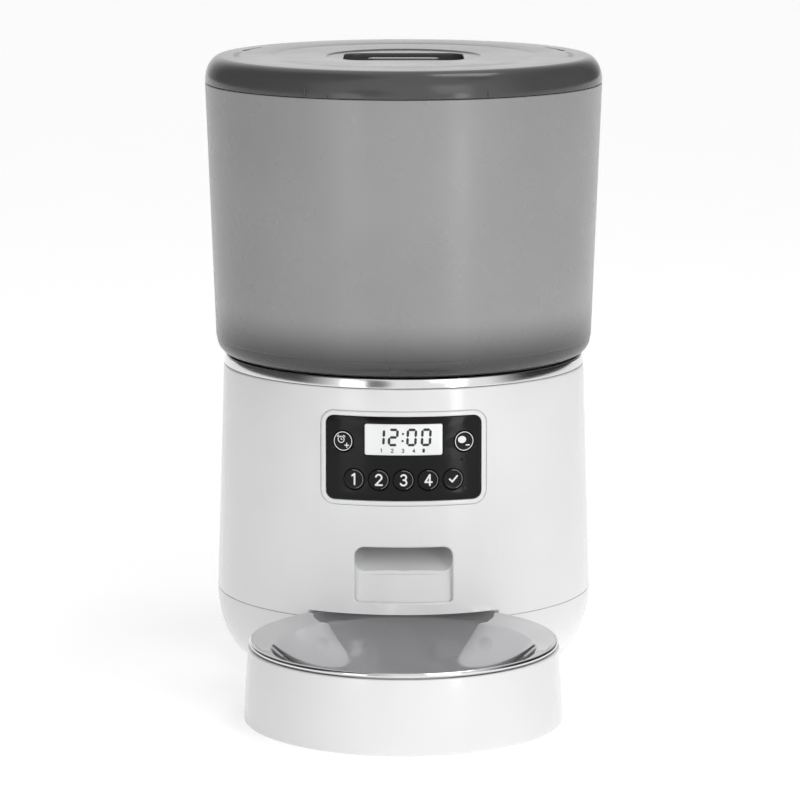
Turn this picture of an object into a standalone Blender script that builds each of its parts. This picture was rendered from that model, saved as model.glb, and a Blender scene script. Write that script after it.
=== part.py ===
"""Automatic pet feeder: a white base with a portion wheel and a control panel, a smoked hopper
with a bayonet lid on top of it, and a steel bowl in a round stand tucked under its front.

The origin is on the floor under the middle of the whole feeder, +Z is up, and the front, with the
bowl, faces -Y. The base, hopper and lid are turned about one upright axis, the body axis, and the
stand and bowl about another in front of it. All values are metres.
"""

import math

import bmesh
import bpy

MM = 0.001
GAP = 0.3 * MM  # clearance between two pieces that touch on the real feeder
SPARE = 9.0 * MM  # how far a cutter runs past what it cuts
BODY_SIDES = 40  # sides of the large turned pieces
BOWL_SIDES = 40
SMALL_SIDES = 16

# Base: the white body below the hopper
SEAM_RADIUS = 95.0 * MM  # at the seam between the shell and the pan under it
DECK_RADIUS = 91.3 * MM  # at the deck that carries the hopper
SEAM_HEIGHT = 37.0 * MM
DECK_HEIGHT = 152.0 * MM
SHELL_WALL = 2.5 * MM
PAN_LIFT = 1.6 * MM  # floor to the underside of the pan
PAN_ROUND = 20.0 * MM  # how far the pan's rounded edge comes in
FOOT_RADIUS = 6.0 * MM
FOOT_HEIGHT = 2.3 * MM
FOOT_REACH = 66.0 * MM
FOOT_ANGLES = (-42.0, 62.0, 118.0, 222.0)
POST_RADIUS = 4.2 * MM
POST_REACH = 74.0 * MM
POST_ANGLES = (-23.0, 40.0, 140.0, 203.0)
SCREW_RADIUS = 1.5 * MM
SCREW_HEAD_RADIUS = 3.0 * MM
SCREW_HEAD_HEIGHT = 1.4 * MM
SCREW_BITE = 13.0 * MM  # how far a screw runs up into its post
SHELL_EDGE = 0.8 * MM  # bevel round the deck

# Bowl and stand
BOWL_REACH = 141.0 * MM  # body axis to bowl axis
STAND_FOOT_RADIUS = 76.9 * MM
STAND_RIM_RADIUS = 74.7 * MM
STAND_HEIGHT = 36.6 * MM
STAND_WALL = 2.2 * MM
STAND_LIFT = 0.6 * MM
RIM_ROLL = 1.3 * MM  # radius of the bowl's rolled edge
WELL_RADIUS = 64.0 * MM  # where the flange turns down into the round well
WELL_FLOOR = 5.2 * MM
FLANGE_DROP = 1.2 * MM
BOWL_SHEET = 1.0 * MM
BOWL_INSET = 0.6 * MM  # from the stand's rim in to the bowl's edge
STAND_OPENING = 38.0 * MM  # radius of the hole in the stand's floor
PAD_RADIUS = 5.0 * MM
PAD_INSET = 16.0 * MM
NOTCH_CLEARANCE = 1.5 * MM  # round the stand, in the pan
ROOF_CLEARANCE = 1.0 * MM  # round and over the bowl's edge, in the shell

# Hopper, ring and lid
RING_HEIGHT = 4.8 * MM
RING_WIDTH = 7.4 * MM
RING_EDGE = 0.8 * MM
HOPPER_HEIGHT = 136.6 * MM
HOPPER_LOW_RADIUS = 95.0 * MM
HOPPER_RIM_RADIUS = 99.8 * MM
HOPPER_WALL = 2.5 * MM
HOPPER_FILLET = 8.0 * MM
FUNNEL_RISE = 16.0 * MM
FUNNEL_EDGE = 2.6 * MM  # thickness of the funnel floor at the throat
RIM_DEPTH = 5.6 * MM  # how far the thick rim under the collar reaches down
COLLAR_HEIGHT = 6.0 * MM
COLLAR_WALL = 2.0 * MM
COLLAR_SPACE = 1.1 * MM  # between the collar and the lid's skirt
SEAL_HEIGHT = 2.0 * MM
LID_HEIGHT = 13.2 * MM
LID_ROUND = 8.3 * MM
LID_WALL = 2.5 * MM
LID_SKIRT = 1.1 * MM  # upright part of the skirt, below its rounded shoulder
DISH_RADIUS = 62.0 * MM
DISH_FLAT_RADIUS = 38.0 * MM
DISH_DEPTH = 1.1 * MM
RECESS_WIDTH = 60.0 * MM
RECESS_LENGTH = 41.0 * MM
RECESS_DEPTH = 9.4 * MM
RECESS_ROUND = 9.0 * MM
GRIP_WIDTH = 36.0 * MM
GRIP_THICKNESS = 8.0 * MM
LUG_ANGLES = (45.0, 135.0, 225.0, 315.0)
LUG_TURN = 27.0  # the lid turns this far clockwise, in degrees, to lock
SACHET_BOX = (60.0 * MM, 40.0 * MM, 16.0 * MM)
SACHET_WALL = 1.5 * MM
SACHET_SPACE = 1.0 * MM
COVER_THICKNESS = 1.6 * MM

# Portion drive
CHAMBER_RADIUS = 46.0 * MM  # inside
CHAMBER_WALL = 2.5 * MM
CHAMBER_DEPTH = 34.3 * MM
CHAMBER_FLANGE = 13.0 * MM
DECK_CLEARANCE = 1.5 * MM  # between the chamber and the hole in the deck
BAFFLE_REACH = 9.0 * MM  # how far the baffle lies on the chamber's flange
BAFFLE_THICKNESS = 1.8 * MM
VANE_COUNT = 6
VANE_THICKNESS = 2.4 * MM
ROTOR_CLEARANCE = 1.7 * MM
HUB_RADIUS = 9.0 * MM
SPIGOT_RADIUS = 5.0 * MM
STIRRER_HEIGHT = 4.0 * MM
SHAFT_RADIUS = 4.0 * MM
GEAR_MODULE = 1.0 * MM
WHEEL_TEETH = 30
PINION_TEETH = 10
GEAR_WIDTH = 7.0 * MM
GEAR_DROP = 14.0 * MM  # from the chamber's floor down to the gears
GEARBOX_WALL = 1.8 * MM
GEARBOX_SPACE = 1.2 * MM  # round the gears' tips
MOTOR_RADIUS = 12.0 * MM
MOTOR_LENGTH = 30.0 * MM

# Outlet and chute
OUTLET_WIDTH = 48.0 * MM
OUTLET_LOW = 46.3 * MM
OUTLET_HIGH = 73.8 * MM
OUTLET_ROUND = 4.3 * MM
CHUTE_WALL = 1.5 * MM
CHUTE_BEND = 22.0 * MM  # how far the upright part of the chute reaches down
SILL = 1.2 * MM

# Control panel
PANEL_WIDTH = 75.7 * MM
PANEL_HEIGHT = 41.1 * MM
PANEL_MIDDLE = 117.85 * MM
PANEL_ROUND = 3.8 * MM
PANEL_THICKNESS = 1.8 * MM
BEZEL_WIDTH = 2.4 * MM
BEZEL_PROUD = 0.7 * MM
DISPLAY_WIDTH = 38.6 * MM
DISPLAY_HEIGHT = 15.9 * MM
DISPLAY_MIDDLE = 127.25 * MM
BUTTON_RADIUS = 5.1 * MM
BUTTON_SPACE = 1.9 * MM  # panel left between two keys of the row
BUTTON_ROW = 107.5 * MM
SIDE_BUTTON_X = 29.5 * MM
SIDE_BUTTON_Z = 126.0 * MM
BUTTON_TRAVEL = 0.8 * MM
MICROPHONE_X = 28.5 * MM
MICROPHONE_Z = 117.1 * MM
STEM_RADIUS = 1.6 * MM
SWITCH_RISE = 0.9 * MM  # from the key board up to the top of a switch
STEM_CLEARANCE = 0.4 * MM  # between a key pressed home and its switch
TAB_REACH = 1.6 * MM  # how far a key's tabs reach past its cap
TAB_WIDTH = 6.4 * MM
CAP_DEPTH = 2.0 * MM  # how far a key's cap reaches behind the panel
CAP_PROUD = 0.45 * MM
KEY_CLEARANCE = 0.4 * MM  # between the board and the deepest corner of a pressed cap
BOARD_THICKNESS = 1.6 * MM
SWITCH_SIZE = 4.0 * MM
PANEL_PROUD = 0.15 * MM
BEZEL_LEDGE = 1.6 * MM  # how far the frame reaches in behind the panel
SKIN_DEPTH = 5.0 * MM  # how deep the frame goes behind the body's surface
PANEL_REACH = 60.0 * MM  # how near the body axis the panel's cutters come

# Power and sound
CELL_RADIUS = 16.6 * MM
CELL_LENGTH = 61.0 * MM
CELL_COUNT = 3
CELL_CLEARANCE = 1.6 * MM
BATTERY_BOX_WALL = 1.5 * MM
BATTERY_MIDDLE_Y = 4.0 * MM  # behind the body axis
CONTACT_THICKNESS = 1.0 * MM
DOOR_THICKNESS = 2.0 * MM
JACK_HEIGHT = 55.0 * MM
JACK_RADIUS = 4.2 * MM
JACK_LENGTH = 12.0 * MM
JACK_BORE = 2.9 * MM
JACK_FLANGE = 13.0 * MM
SPEAKER_RADIUS = 14.0 * MM
SPEAKER_ANGLE = 116.0
SPEAKER_HEIGHT = 95.0 * MM
SPEAKER_DEPTH = 9.0 * MM
SOUND_SLOTS = 5
SOUND_SLOT = (1.8 * MM, 16.0 * MM)  # width and height
SOUND_PITCH = 4.0 * MM

# Places that follow from the sizes above
BODY_Y = (BOWL_REACH + STAND_FOOT_RADIUS - HOPPER_RIM_RADIUS) / 2
BOWL_Y = BODY_Y - BOWL_REACH
BODY = (0.0, BODY_Y, 0.0)
BOWL = (0.0, BOWL_Y, 0.0)
RING_LOW = DECK_HEIGHT + GAP
RING_TOP = RING_LOW + RING_HEIGHT
HOPPER_LOW = RING_TOP + GAP
HOPPER_TOP = HOPPER_LOW + HOPPER_HEIGHT
COLLAR_TOP = HOPPER_TOP + COLLAR_HEIGHT
LID_LOW = HOPPER_TOP + GAP
LID_TOP = LID_LOW + LID_HEIGHT
BOWL_EDGE = STAND_RIM_RADIUS - BOWL_INSET
PAN_NOTCH = STAND_FOOT_RADIUS + NOTCH_CLEARANCE
SHELL_NOTCH = BOWL_EDGE + ROOF_CLEARANCE
NOTCH_TOP = STAND_HEIGHT + GAP + 2 * RIM_ROLL + ROOF_CLEARANCE
THROAT_RADIUS = CHAMBER_RADIUS + GAP
CHAMBER_TOP = DECK_HEIGHT + GAP + CHAMBER_WALL
CHAMBER_FLOOR = CHAMBER_TOP - CHAMBER_DEPTH  # upper face of the chamber's floor
GEAR_CENTRES = GEAR_MODULE * (WHEEL_TEETH + PINION_TEETH) / 2
COLLAR_RADIUS = HOPPER_RIM_RADIUS - LID_WALL - COLLAR_SPACE
SEAL_LOW = COLLAR_TOP + GAP
BUTTON_PITCH = 2 * BUTTON_RADIUS + BUTTON_SPACE


def polar(radius, degrees):
    """The x and y of a point at this radius and angle."""
    angle = math.radians(degrees)
    return radius * math.cos(angle), radius * math.sin(angle)


def body_radius(height):
    """Outer radius of the white body at a height, on the straight taper from seam to deck."""
    share = (height - SEAM_HEIGHT) / (DECK_HEIGHT - SEAM_HEIGHT)
    return SEAM_RADIUS + share * (DECK_RADIUS - SEAM_RADIUS)


def look(name, colour, roughness, metallic=0.0, alpha=1.0):
    """A Principled material."""
    material = bpy.data.materials.new(name)
    material.use_nodes = True
    shader = material.node_tree.nodes["Principled BSDF"]
    shader.inputs["Base Color"].default_value = (*colour, 1.0)
    shader.inputs["Roughness"].default_value = roughness
    shader.inputs["Metallic"].default_value = metallic
    shader.inputs["Alpha"].default_value = alpha
    return material


def piece(name, mesh_data, material, place=BODY, turn=0.0):
    """Links the finished bmesh as one named object, turned about Z at its place."""
    bmesh.ops.recalc_face_normals(mesh_data, faces=mesh_data.faces)
    mesh = bpy.data.meshes.new(name)
    mesh_data.to_mesh(mesh)
    mesh_data.free()
    if material:
        mesh.materials.append(material)
    mesh.shade_smooth()
    mesh.set_sharp_from_angle(angle=math.radians(30))
    made = bpy.data.objects.new(name, mesh)
    made.location = place
    made.rotation_euler.z = turn
    bpy.context.scene.collection.objects.link(made)
    return made


def turned(name, profile, material, place=BODY, sides=BODY_SIDES):
    """A closed outline of (radius, height) points carried round the upright axis."""
    made = bmesh.new()
    rings = []
    for radius, height in profile:
        count = sides if radius > 0 else 1
        angles = [2 * math.pi * i / sides for i in range(count)]
        rings.append(
            [made.verts.new((radius * math.cos(a), radius * math.sin(a), height)) for a in angles]
        )
    for lower, upper in zip(rings, rings[1:] + rings[:1]):
        if len(lower) == len(upper) == 1:
            continue
        for i in range(sides):
            j = (i + 1) % sides
            corners = [
                lower[i % len(lower)],
                lower[j % len(lower)],
                upper[j % len(upper)],
                upper[i % len(upper)],
            ]
            made.faces.new(list(dict.fromkeys(corners)))
    return piece(name, made, material, place)


def prism(name, outline, start, end, material, axis="Z", place=BODY, turn=0.0):
    """A closed outline carried straight along an axis from start to end."""
    spread = {
        "Z": lambda u, v, w: (u, v, w),
        "Y": lambda u, v, w: (u, w, v),
        "X": lambda u, v, w: (w, u, v),
    }[axis]
    made = bmesh.new()
    near = [made.verts.new(spread(u, v, start)) for u, v in outline]
    far = [made.verts.new(spread(u, v, end)) for u, v in outline]
    made.faces.new(near)
    made.faces.new(far)
    for i in range(len(outline)):
        j = (i + 1) % len(outline)
        made.faces.new((near[i], near[j], far[j], far[i]))
    return piece(name, made, material, place, turn)


def block(name, low, high, material, place=BODY, turn=0.0):
    """A box between two corners."""
    outline = [(low[0], low[1]), (high[0], low[1]), (high[0], high[1]), (low[0], high[1])]
    return prism(name, outline, low[2], high[2], material, place=place, turn=turn)


def rod(name, centre, radius, start, end, material, axis="Z", turn=0.0, sides=SMALL_SIDES):
    """A round bar along an axis; centre is its place across that axis."""
    return prism(name, circle(radius, centre, sides), start, end, material, axis, turn=turn)


def circle(radius, centre=(0.0, 0.0), sides=SMALL_SIDES):
    steps = [2 * math.pi * (i + 0.5) / sides for i in range(sides)]
    return [(centre[0] + radius * math.cos(a), centre[1] + radius * math.sin(a)) for a in steps]


def arc(centre, radii, first, last, steps):
    """Points on a quarter of an ellipse, or any part of one, between two angles in degrees."""
    turns = [math.radians(first + (last - first) * i / steps) for i in range(steps + 1)]
    return [
        (centre[0] + radii[0] * math.cos(a), centre[1] + radii[1] * math.sin(a)) for a in turns
    ]


def rounded_rectangle(width, height, radius, middle=(0.0, 0.0), steps=3):
    """A rectangle with round corners, counter-clockwise from its right side's upper corner."""
    points = []
    corners = ((1, 1, 0), (-1, 1, 90), (-1, -1, 180), (1, -1, 270))
    for side_x, side_y, first in corners:
        centre = (
            middle[0] + side_x * (width / 2 - radius),
            middle[1] + side_y * (height / 2 - radius),
        )
        points += arc(centre, (radius, radius), first, first + 90, steps)
    return points


def sector(inner, outer, first, last, steps):
    """A slice of a flat ring between two angles."""
    out = arc((0, 0), (outer, outer), first, last, steps)
    back = arc((0, 0), (inner, inner), last, first, steps)
    return out + back


def guide(shape):
    """Marks an object as a cutter or a guide, not a piece."""
    shape.hide_render = True
    shape.display_type = "WIRE"
    return shape


def combine(target, shape, operation, solver="EXACT"):
    step = target.modifiers.new(shape.name, "BOOLEAN")
    step.operation = operation
    step.solver = solver
    step.object = guide(shape)
    return target


def cut(target, shape):
    return combine(target, shape, "DIFFERENCE")


def join(target, shape):
    return combine(target, shape, "UNION")


def front_patch(name, outline, inner, outer, material):
    """A piece of a skin that follows the body's taper: inner and outer are offsets from the body's
    surface, and the outline is (x, z) as seen from the front."""
    low = min(z for _, z in outline) - 2 * MM
    high = max(z for _, z in outline) + 2 * MM
    profile = [
        (body_radius(low) + inner, low),
        (body_radius(low) + outer, low),
        (body_radius(high) + outer, high),
        (body_radius(high) + inner, high),
    ]
    skin = turned(name, profile, material)
    window = prism(name + "_window", outline, -SEAM_RADIUS - SPARE, -PANEL_REACH, None, "Y")
    return combine(skin, window, "INTERSECT")


def front_cutter(name, outline):
    """A prism that passes right through the front wall."""
    return prism(name, outline, -SEAM_RADIUS - SPARE, -PANEL_REACH, None, "Y")


# ---------------------------------------------------------------- base


def pan_arc(wall, last, steps):
    """The rounded edge of the pan, from its flat underside (-90 degrees) up to the seam (0)."""
    centre = (SEAM_RADIUS - PAN_ROUND, SEAM_HEIGHT - GAP)
    radii = (PAN_ROUND - wall, SEAM_HEIGHT - GAP - PAN_LIFT - wall)
    return arc(centre, radii, -90, last, steps)


def notch_cutter(name, radius, low, high):
    """The round space that the stand slides into, or that space with a wall round it."""
    profile = [(0, low), (radius, low), (radius, high), (0, high)]
    return guide(turned(name, profile, None, place=BOWL))


def make_pan(white):
    top = SEAM_HEIGHT - GAP
    pan = turned("base_pan", [(0, PAN_LIFT), *pan_arc(0, 0, 6), (0, top)], white)
    floor = PAN_LIFT + SHELL_WALL
    cavity_profile = [(0, floor), *pan_arc(SHELL_WALL, -9, 4)]
    cavity_profile += [(SEAM_RADIUS - SHELL_WALL, top + SPARE), (0, top + SPARE)]
    cavity = turned("pan_cavity", cavity_profile, None)
    cut(cavity, notch_cutter("pan_notch_wall", PAN_NOTCH + SHELL_WALL, -SPARE, top + 2 * SPARE))
    combine(pan, cavity, "DIFFERENCE", "MANIFOLD")
    notch = notch_cutter("pan_notch", PAN_NOTCH, -SPARE, top + SPARE)
    combine(pan, notch, "DIFFERENCE", "MANIFOLD")
    half_x, half_y = battery_half_size()
    low_y, high_y = BATTERY_MIDDLE_Y - half_y, BATTERY_MIDDLE_Y + half_y
    cut(
        pan,
        block("pan_battery_hole", (-half_x, low_y, -SPARE), (half_x, high_y, SPARE), None),
    )
    for i, angle in enumerate(FOOT_ANGLES):
        centre = polar(FOOT_REACH, angle)
        pocket = rod(f"foot_pocket_{i}", centre, FOOT_RADIUS + GAP, -SPARE, FOOT_HEIGHT + GAP, None)
        cut(pan, pocket)
    for i, angle in enumerate(POST_ANGLES):
        centre = polar(POST_REACH, angle)
        top = floor + SPARE
        cut(pan, rod(f"pan_screw_hole_{i}", centre, SCREW_RADIUS + GAP, 0, top, None))
        top = PAN_LIFT + SCREW_HEAD_HEIGHT
        cut(pan, rod(f"pan_screw_recess_{i}", centre, SCREW_HEAD_RADIUS + GAP, -SPARE, top, None))
    return pan


def make_shell(white):
    low = SEAM_HEIGHT + GAP
    deck_low = DECK_HEIGHT - SHELL_WALL
    hole = CHAMBER_RADIUS + CHAMBER_WALL + DECK_CLEARANCE
    profile = [
        (SEAM_RADIUS - SHELL_WALL, low),
        (SEAM_RADIUS, low),
        (body_radius(DECK_HEIGHT - SHELL_EDGE), DECK_HEIGHT - SHELL_EDGE),
        (DECK_RADIUS - SHELL_EDGE, DECK_HEIGHT),
        (hole, DECK_HEIGHT),
        (hole, deck_low),
        (DECK_RADIUS - SHELL_WALL, deck_low),
    ]
    shell = turned("base_shell", profile, white)
    roof_low = low + 0.2 * MM  # not in one plane with the shell's edge
    roof = notch_cutter("notch_roof", SHELL_NOTCH + SHELL_WALL, roof_low, NOTCH_TOP + SHELL_WALL)
    reach = SEAM_RADIUS - SHELL_WALL / 2
    roof_limit = [(0, 0), (reach, 0), (reach, NOTCH_TOP + SPARE), (0, NOTCH_TOP + SPARE)]
    combine(roof, turned("notch_roof_limit", roof_limit, None), "INTERSECT")
    join(shell, roof)
    cut(shell, notch_cutter("shell_notch", SHELL_NOTCH, -SPARE, NOTCH_TOP))
    for i, angle in enumerate(POST_ANGLES):
        centre = polar(POST_REACH, angle)
        top = deck_low + SHELL_WALL / 2
        join(shell, rod(f"screw_post_{i}", centre, POST_RADIUS, low, top, None, sides=12))
        top = low + SCREW_BITE + GAP
        cut(shell, rod(f"post_hole_{i}", centre, SCREW_RADIUS + GAP, 0, top, None))
    cut(shell, front_cutter("outlet_hole", outlet_outline()))
    opening = bezel_outline(GAP)
    cut(shell, front_cutter("panel_hole", opening))
    wall = body_radius(JACK_HEIGHT)
    place = (0, JACK_HEIGHT)
    cut(shell, rod("jack_hole", place, JACK_RADIUS + GAP, wall - SPARE, wall + SPARE, None, "Y"))
    wall = body_radius(SPEAKER_HEIGHT)
    slot_width, slot_height = SOUND_SLOT
    for i in range(SOUND_SLOTS):
        middle = (i - (SOUND_SLOTS - 1) / 2) * SOUND_PITCH
        slot = block(
            f"sound_slot_{i}",
            (wall - SPARE, middle - slot_width / 2, SPEAKER_HEIGHT - slot_height / 2),
            (wall + SPARE, middle + slot_width / 2, SPEAKER_HEIGHT + slot_height / 2),
            None,
            turn=math.radians(SPEAKER_ANGLE),
        )
        cut(shell, slot)
    return shell


def make_feet(rubber):
    for i, angle in enumerate(FOOT_ANGLES):
        rod(f"foot_{i + 1}", polar(FOOT_REACH, angle), FOOT_RADIUS, 0, FOOT_HEIGHT, rubber)


def make_screws(steel):
    """Each screw's head sits in a recess under the pan, and its shank runs up into a post."""
    head_top = PAN_LIFT + SCREW_HEAD_HEIGHT - GAP
    chamfer = 0.4 * MM
    for i, angle in enumerate(POST_ANGLES):
        x, y = polar(POST_REACH, angle)
        profile = [
            (0, head_top - MM),
            (SCREW_HEAD_RADIUS - chamfer, head_top - MM),
            (SCREW_HEAD_RADIUS, head_top),
            (SCREW_RADIUS, head_top),
            (SCREW_RADIUS, SEAM_HEIGHT + SCREW_BITE - MM),
            (0, SEAM_HEIGHT + SCREW_BITE),
        ]
        turned(f"case_screw_{i + 1}", profile, steel, (x, BODY_Y + y, 0), SMALL_SIDES)


def make_ring(chrome):
    """The polished ring between the base and the hopper."""
    outer = DECK_RADIUS
    turned(
        "trim_ring",
        [
            (outer - RING_WIDTH, RING_LOW),
            (outer - RING_EDGE / 2, RING_LOW),
            (outer, RING_LOW + RING_EDGE / 2),
            (outer, RING_TOP - RING_EDGE),
            (outer - RING_EDGE, RING_TOP),
            (outer - RING_WIDTH, RING_TOP),
        ],
        chrome,
    )


# ---------------------------------------------------------------- hopper and lid


def make_hopper(smoke):
    """A tapered tank with a funnel floor, a hollow skirt under it and a collar for the lid."""
    low, top = HOPPER_LOW, HOPPER_TOP
    fillet = HOPPER_FILLET
    outer_low = HOPPER_LOW_RADIUS
    wall = HOPPER_WALL
    funnel_top = low + FUNNEL_EDGE + FUNNEL_RISE
    slope = FUNNEL_RISE / (outer_low - wall - THROAT_RADIUS)
    collar_inner = COLLAR_RADIUS - COLLAR_WALL
    skirt_inner = outer_low - wall
    bevel = 1.6 * MM
    lip = 3.0 * MM  # foot of the throat's edge
    rib = outer_low - fillet - wall  # inner face of the skirt's foot
    inside = [
        (skirt_inner - bevel, funnel_top - wall - bevel * slope),
        (skirt_inner, low + fillet),
    ]
    profile = [
        (THROAT_RADIUS, low),
        (THROAT_RADIUS + lip - GAP, low),
        (THROAT_RADIUS + lip, low + FUNNEL_EDGE - bevel),
        *inside,
        *arc((outer_low - fillet, low + fillet), (fillet - wall, fillet - wall), -35, -90, 2),
        (rib, low + wall),
        (rib, low),
        *arc((outer_low - fillet, low + fillet), (fillet, fillet), -90, 0, 4),
        (HOPPER_RIM_RADIUS, top),
        (COLLAR_RADIUS, top),
        (COLLAR_RADIUS, COLLAR_TOP),
        (collar_inner, COLLAR_TOP),
        (collar_inner, top - RIM_DEPTH + wall),
        (HOPPER_RIM_RADIUS - wall - 0.2 * MM, top - RIM_DEPTH),
        (outer_low - wall + 0.3 * MM, funnel_top),
        (THROAT_RADIUS, low + FUNNEL_EDGE),
    ]
    hopper = turned("hopper", profile, smoke)
    for i, angle in enumerate(LUG_ANGLES):
        slice_ = sector(
            COLLAR_RADIUS - 0.8 * MM, COLLAR_RADIUS + 0.6 * MM, angle - 9, angle + 9, 3
        )
        lug = prism(f"collar_lug_{i}", slice_, top + 3.6 * MM, top + 5.3 * MM, None)
        join(hopper, lug)
    return hopper


def stadium(width, length):
    """A straight-sided outline with two round ends."""
    radius = length / 2
    ends = width / 2 - radius
    right = arc((ends, 0), (radius, radius), -90, 90, 8)
    left = arc((-ends, 0), (radius, radius), 90, 270, 8)
    return right + left


def recess_outline(margin):
    """The finger recess as seen from above, moved outwards by margin."""
    width, length = RECESS_WIDTH + 2 * margin, RECESS_LENGTH + 2 * margin
    return rounded_rectangle(width, length, RECESS_ROUND + margin, steps=4)


def make_lid(smoke):
    """A domed cover with a rounded shoulder, a shallow dish and a finger recess with a grip bar."""
    outer = HOPPER_RIM_RADIUS
    inner = outer - LID_WALL
    arc_height = LID_TOP - LID_LOW - LID_SKIRT
    seal_top = SEAL_LOW + SEAL_HEIGHT
    dish = LID_TOP - DISH_DEPTH
    groove = collar_centre() - COLLAR_WALL / 2 - 0.8 * MM  # inner side of the seal's groove
    profile = [
        (inner, LID_LOW),
        (outer, LID_LOW),
        *arc(
            (outer - LID_ROUND, LID_TOP - arc_height), (LID_ROUND, arc_height), 0, 90, 6
        ),
        (DISH_RADIUS, LID_TOP),
        (DISH_FLAT_RADIUS, dish),
        (0, dish),
        (0, dish - LID_WALL),
        (DISH_FLAT_RADIUS, dish - LID_WALL),
        (groove, LID_TOP - LID_WALL),
        (groove, seal_top + GAP),
        (inner - 0.2 * MM, seal_top + GAP),
        (inner, SEAL_LOW - 0.8 * MM),
    ]
    lid = turned("lid", profile, smoke)
    floor = dish - RECESS_DEPTH
    tub = prism(
        "recess_tub",
        recess_outline(LID_WALL),
        floor - LID_WALL,
        dish - 0.9 * MM,
        None,
    )
    join(lid, tub)
    cut(lid, prism("recess", recess_outline(0), floor, LID_TOP + SPARE, None))
    bar = prism(
        "grip_bar", stadium(GRIP_WIDTH, GRIP_THICKNESS), floor - 0.8 * MM, dish - 0.6 * MM, None
    )
    combine(lid, bar, "UNION", "MANIFOLD")
    for i, angle in enumerate(LUG_ANGLES):
        middle = angle + LUG_TURN
        slice_ = sector(inner - 0.7 * MM, inner + 1 * MM, middle - 6, middle + 6, 2)
        lug = prism(f"lid_lug_{i}", slice_, LID_LOW + 0.6 * MM, LID_LOW + 2.4 * MM, None)
        join(lid, lug)
    return lid


def collar_centre():
    return COLLAR_RADIUS - COLLAR_WALL / 2


def make_lid_fittings(silicone, white, paper):
    """The seal on the hopper's collar and, under the lid, the box that holds a drying sachet."""
    middle = collar_centre()
    low, high = SEAL_LOW, SEAL_LOW + SEAL_HEIGHT
    near, far = middle - COLLAR_WALL / 2 - 0.2 * MM, middle + COLLAR_WALL / 2 + 0.2 * MM
    turned("lid_seal", [(near, low), (far, low), (far, high), (near, high)], silicone)
    roof = LID_TOP - DISH_DEPTH - RECESS_DEPTH - LID_WALL - GAP
    (width, length, height), wall = SACHET_BOX, SACHET_WALL
    box = block(
        "sachet_box",
        (-width / 2, -length / 2, roof - height),
        (width / 2, length / 2, roof),
        white,
    )
    hollow = block(
        "sachet_box_hollow",
        (wall - width / 2, wall - length / 2, roof - height - SPARE),
        (width / 2 - wall, length / 2 - wall, roof - wall),
        None,
    )
    cut(box, hollow)
    spare = wall + SACHET_SPACE
    block(
        "drying_sachet",
        (spare - width / 2, spare - length / 2, roof - height + SACHET_SPACE),
        (width / 2 - spare, length / 2 - spare, roof - wall - GAP),
        paper,
    )
    cover_top = roof - height - GAP
    half = COVER_THICKNESS / 2
    hinge = (0, BODY_Y + length / 2, cover_top - half)
    cover = block(
        "sachet_cover",
        (-width / 2, -length, -half),
        (width / 2, 0, half),
        white,
        place=hinge,
    )
    for i in range(5):
        x = (i - 2) * width / 6
        slot = block(
            f"cover_slot_{i}",
            (x - 1.5 * MM, length / 5 - length, -SPARE),
            (x + 1.5 * MM, -length / 5, SPARE),
            None,
            place=hinge,
        )
        cut(cover, slot)


# ---------------------------------------------------------------- portion drive


def outlet_in_floor(margin=0.0):
    """Low and high corners, in x and y, of the hole that a portion drops through."""
    half_width = 14 * MM - margin
    return (-half_width, margin - 43.5 * MM), (half_width, -22.5 * MM - margin)


def make_chamber(white):
    """The round cup that the portion wheel turns in, hung in the deck by its flange."""
    floor_low = CHAMBER_FLOOR - CHAMBER_WALL
    outer = CHAMBER_RADIUS + CHAMBER_WALL
    flange = outer + CHAMBER_FLANGE
    profile = [
        (SHAFT_RADIUS + 1.5 * MM, floor_low),
        (outer, floor_low),
        (outer, DECK_HEIGHT + GAP),
        (flange, DECK_HEIGHT + GAP),
        (flange, CHAMBER_TOP),
        (CHAMBER_RADIUS, CHAMBER_TOP),
        (CHAMBER_RADIUS, CHAMBER_FLOOR),
        (SHAFT_RADIUS + 1.5 * MM, CHAMBER_FLOOR),
    ]
    chamber = turned("portion_chamber", profile, white)
    low, high = outlet_in_floor()
    hole = block("chamber_outlet", (*low, floor_low - MM), (*high, CHAMBER_FLOOR + MM), None)
    return cut(chamber, hole)


def make_baffle(white):
    """The plate over the outlet that lets through only what a wheel pocket holds."""
    outer = CHAMBER_RADIUS + CHAMBER_WALL + BAFFLE_REACH
    outline = sector(HUB_RADIUS + 2 * MM, outer, -128, -52, 6)
    low = CHAMBER_TOP + GAP
    prism("portion_baffle", outline, low, low + BAFFLE_THICKNESS, white)


def star(arms, hub, tip, thickness):
    """A hub with straight arms, seen from above."""
    points = []
    half = thickness / 2
    root = math.degrees(math.asin(half / hub))
    for k in range(arms):
        middle = 360 * k / arms
        along = polar(1, middle)
        across = (-along[1], along[0])
        reach = math.sqrt(tip * tip - half * half)
        points.append(polar(hub, middle - root))
        for side in (-1, 1):
            points.append(tuple(reach * along[i] + side * half * across[i] for i in (0, 1)))
        points += arc((0, 0), (hub, hub), middle + root, middle + 360 / arms - root, 2)[:-1]
    return points


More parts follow.
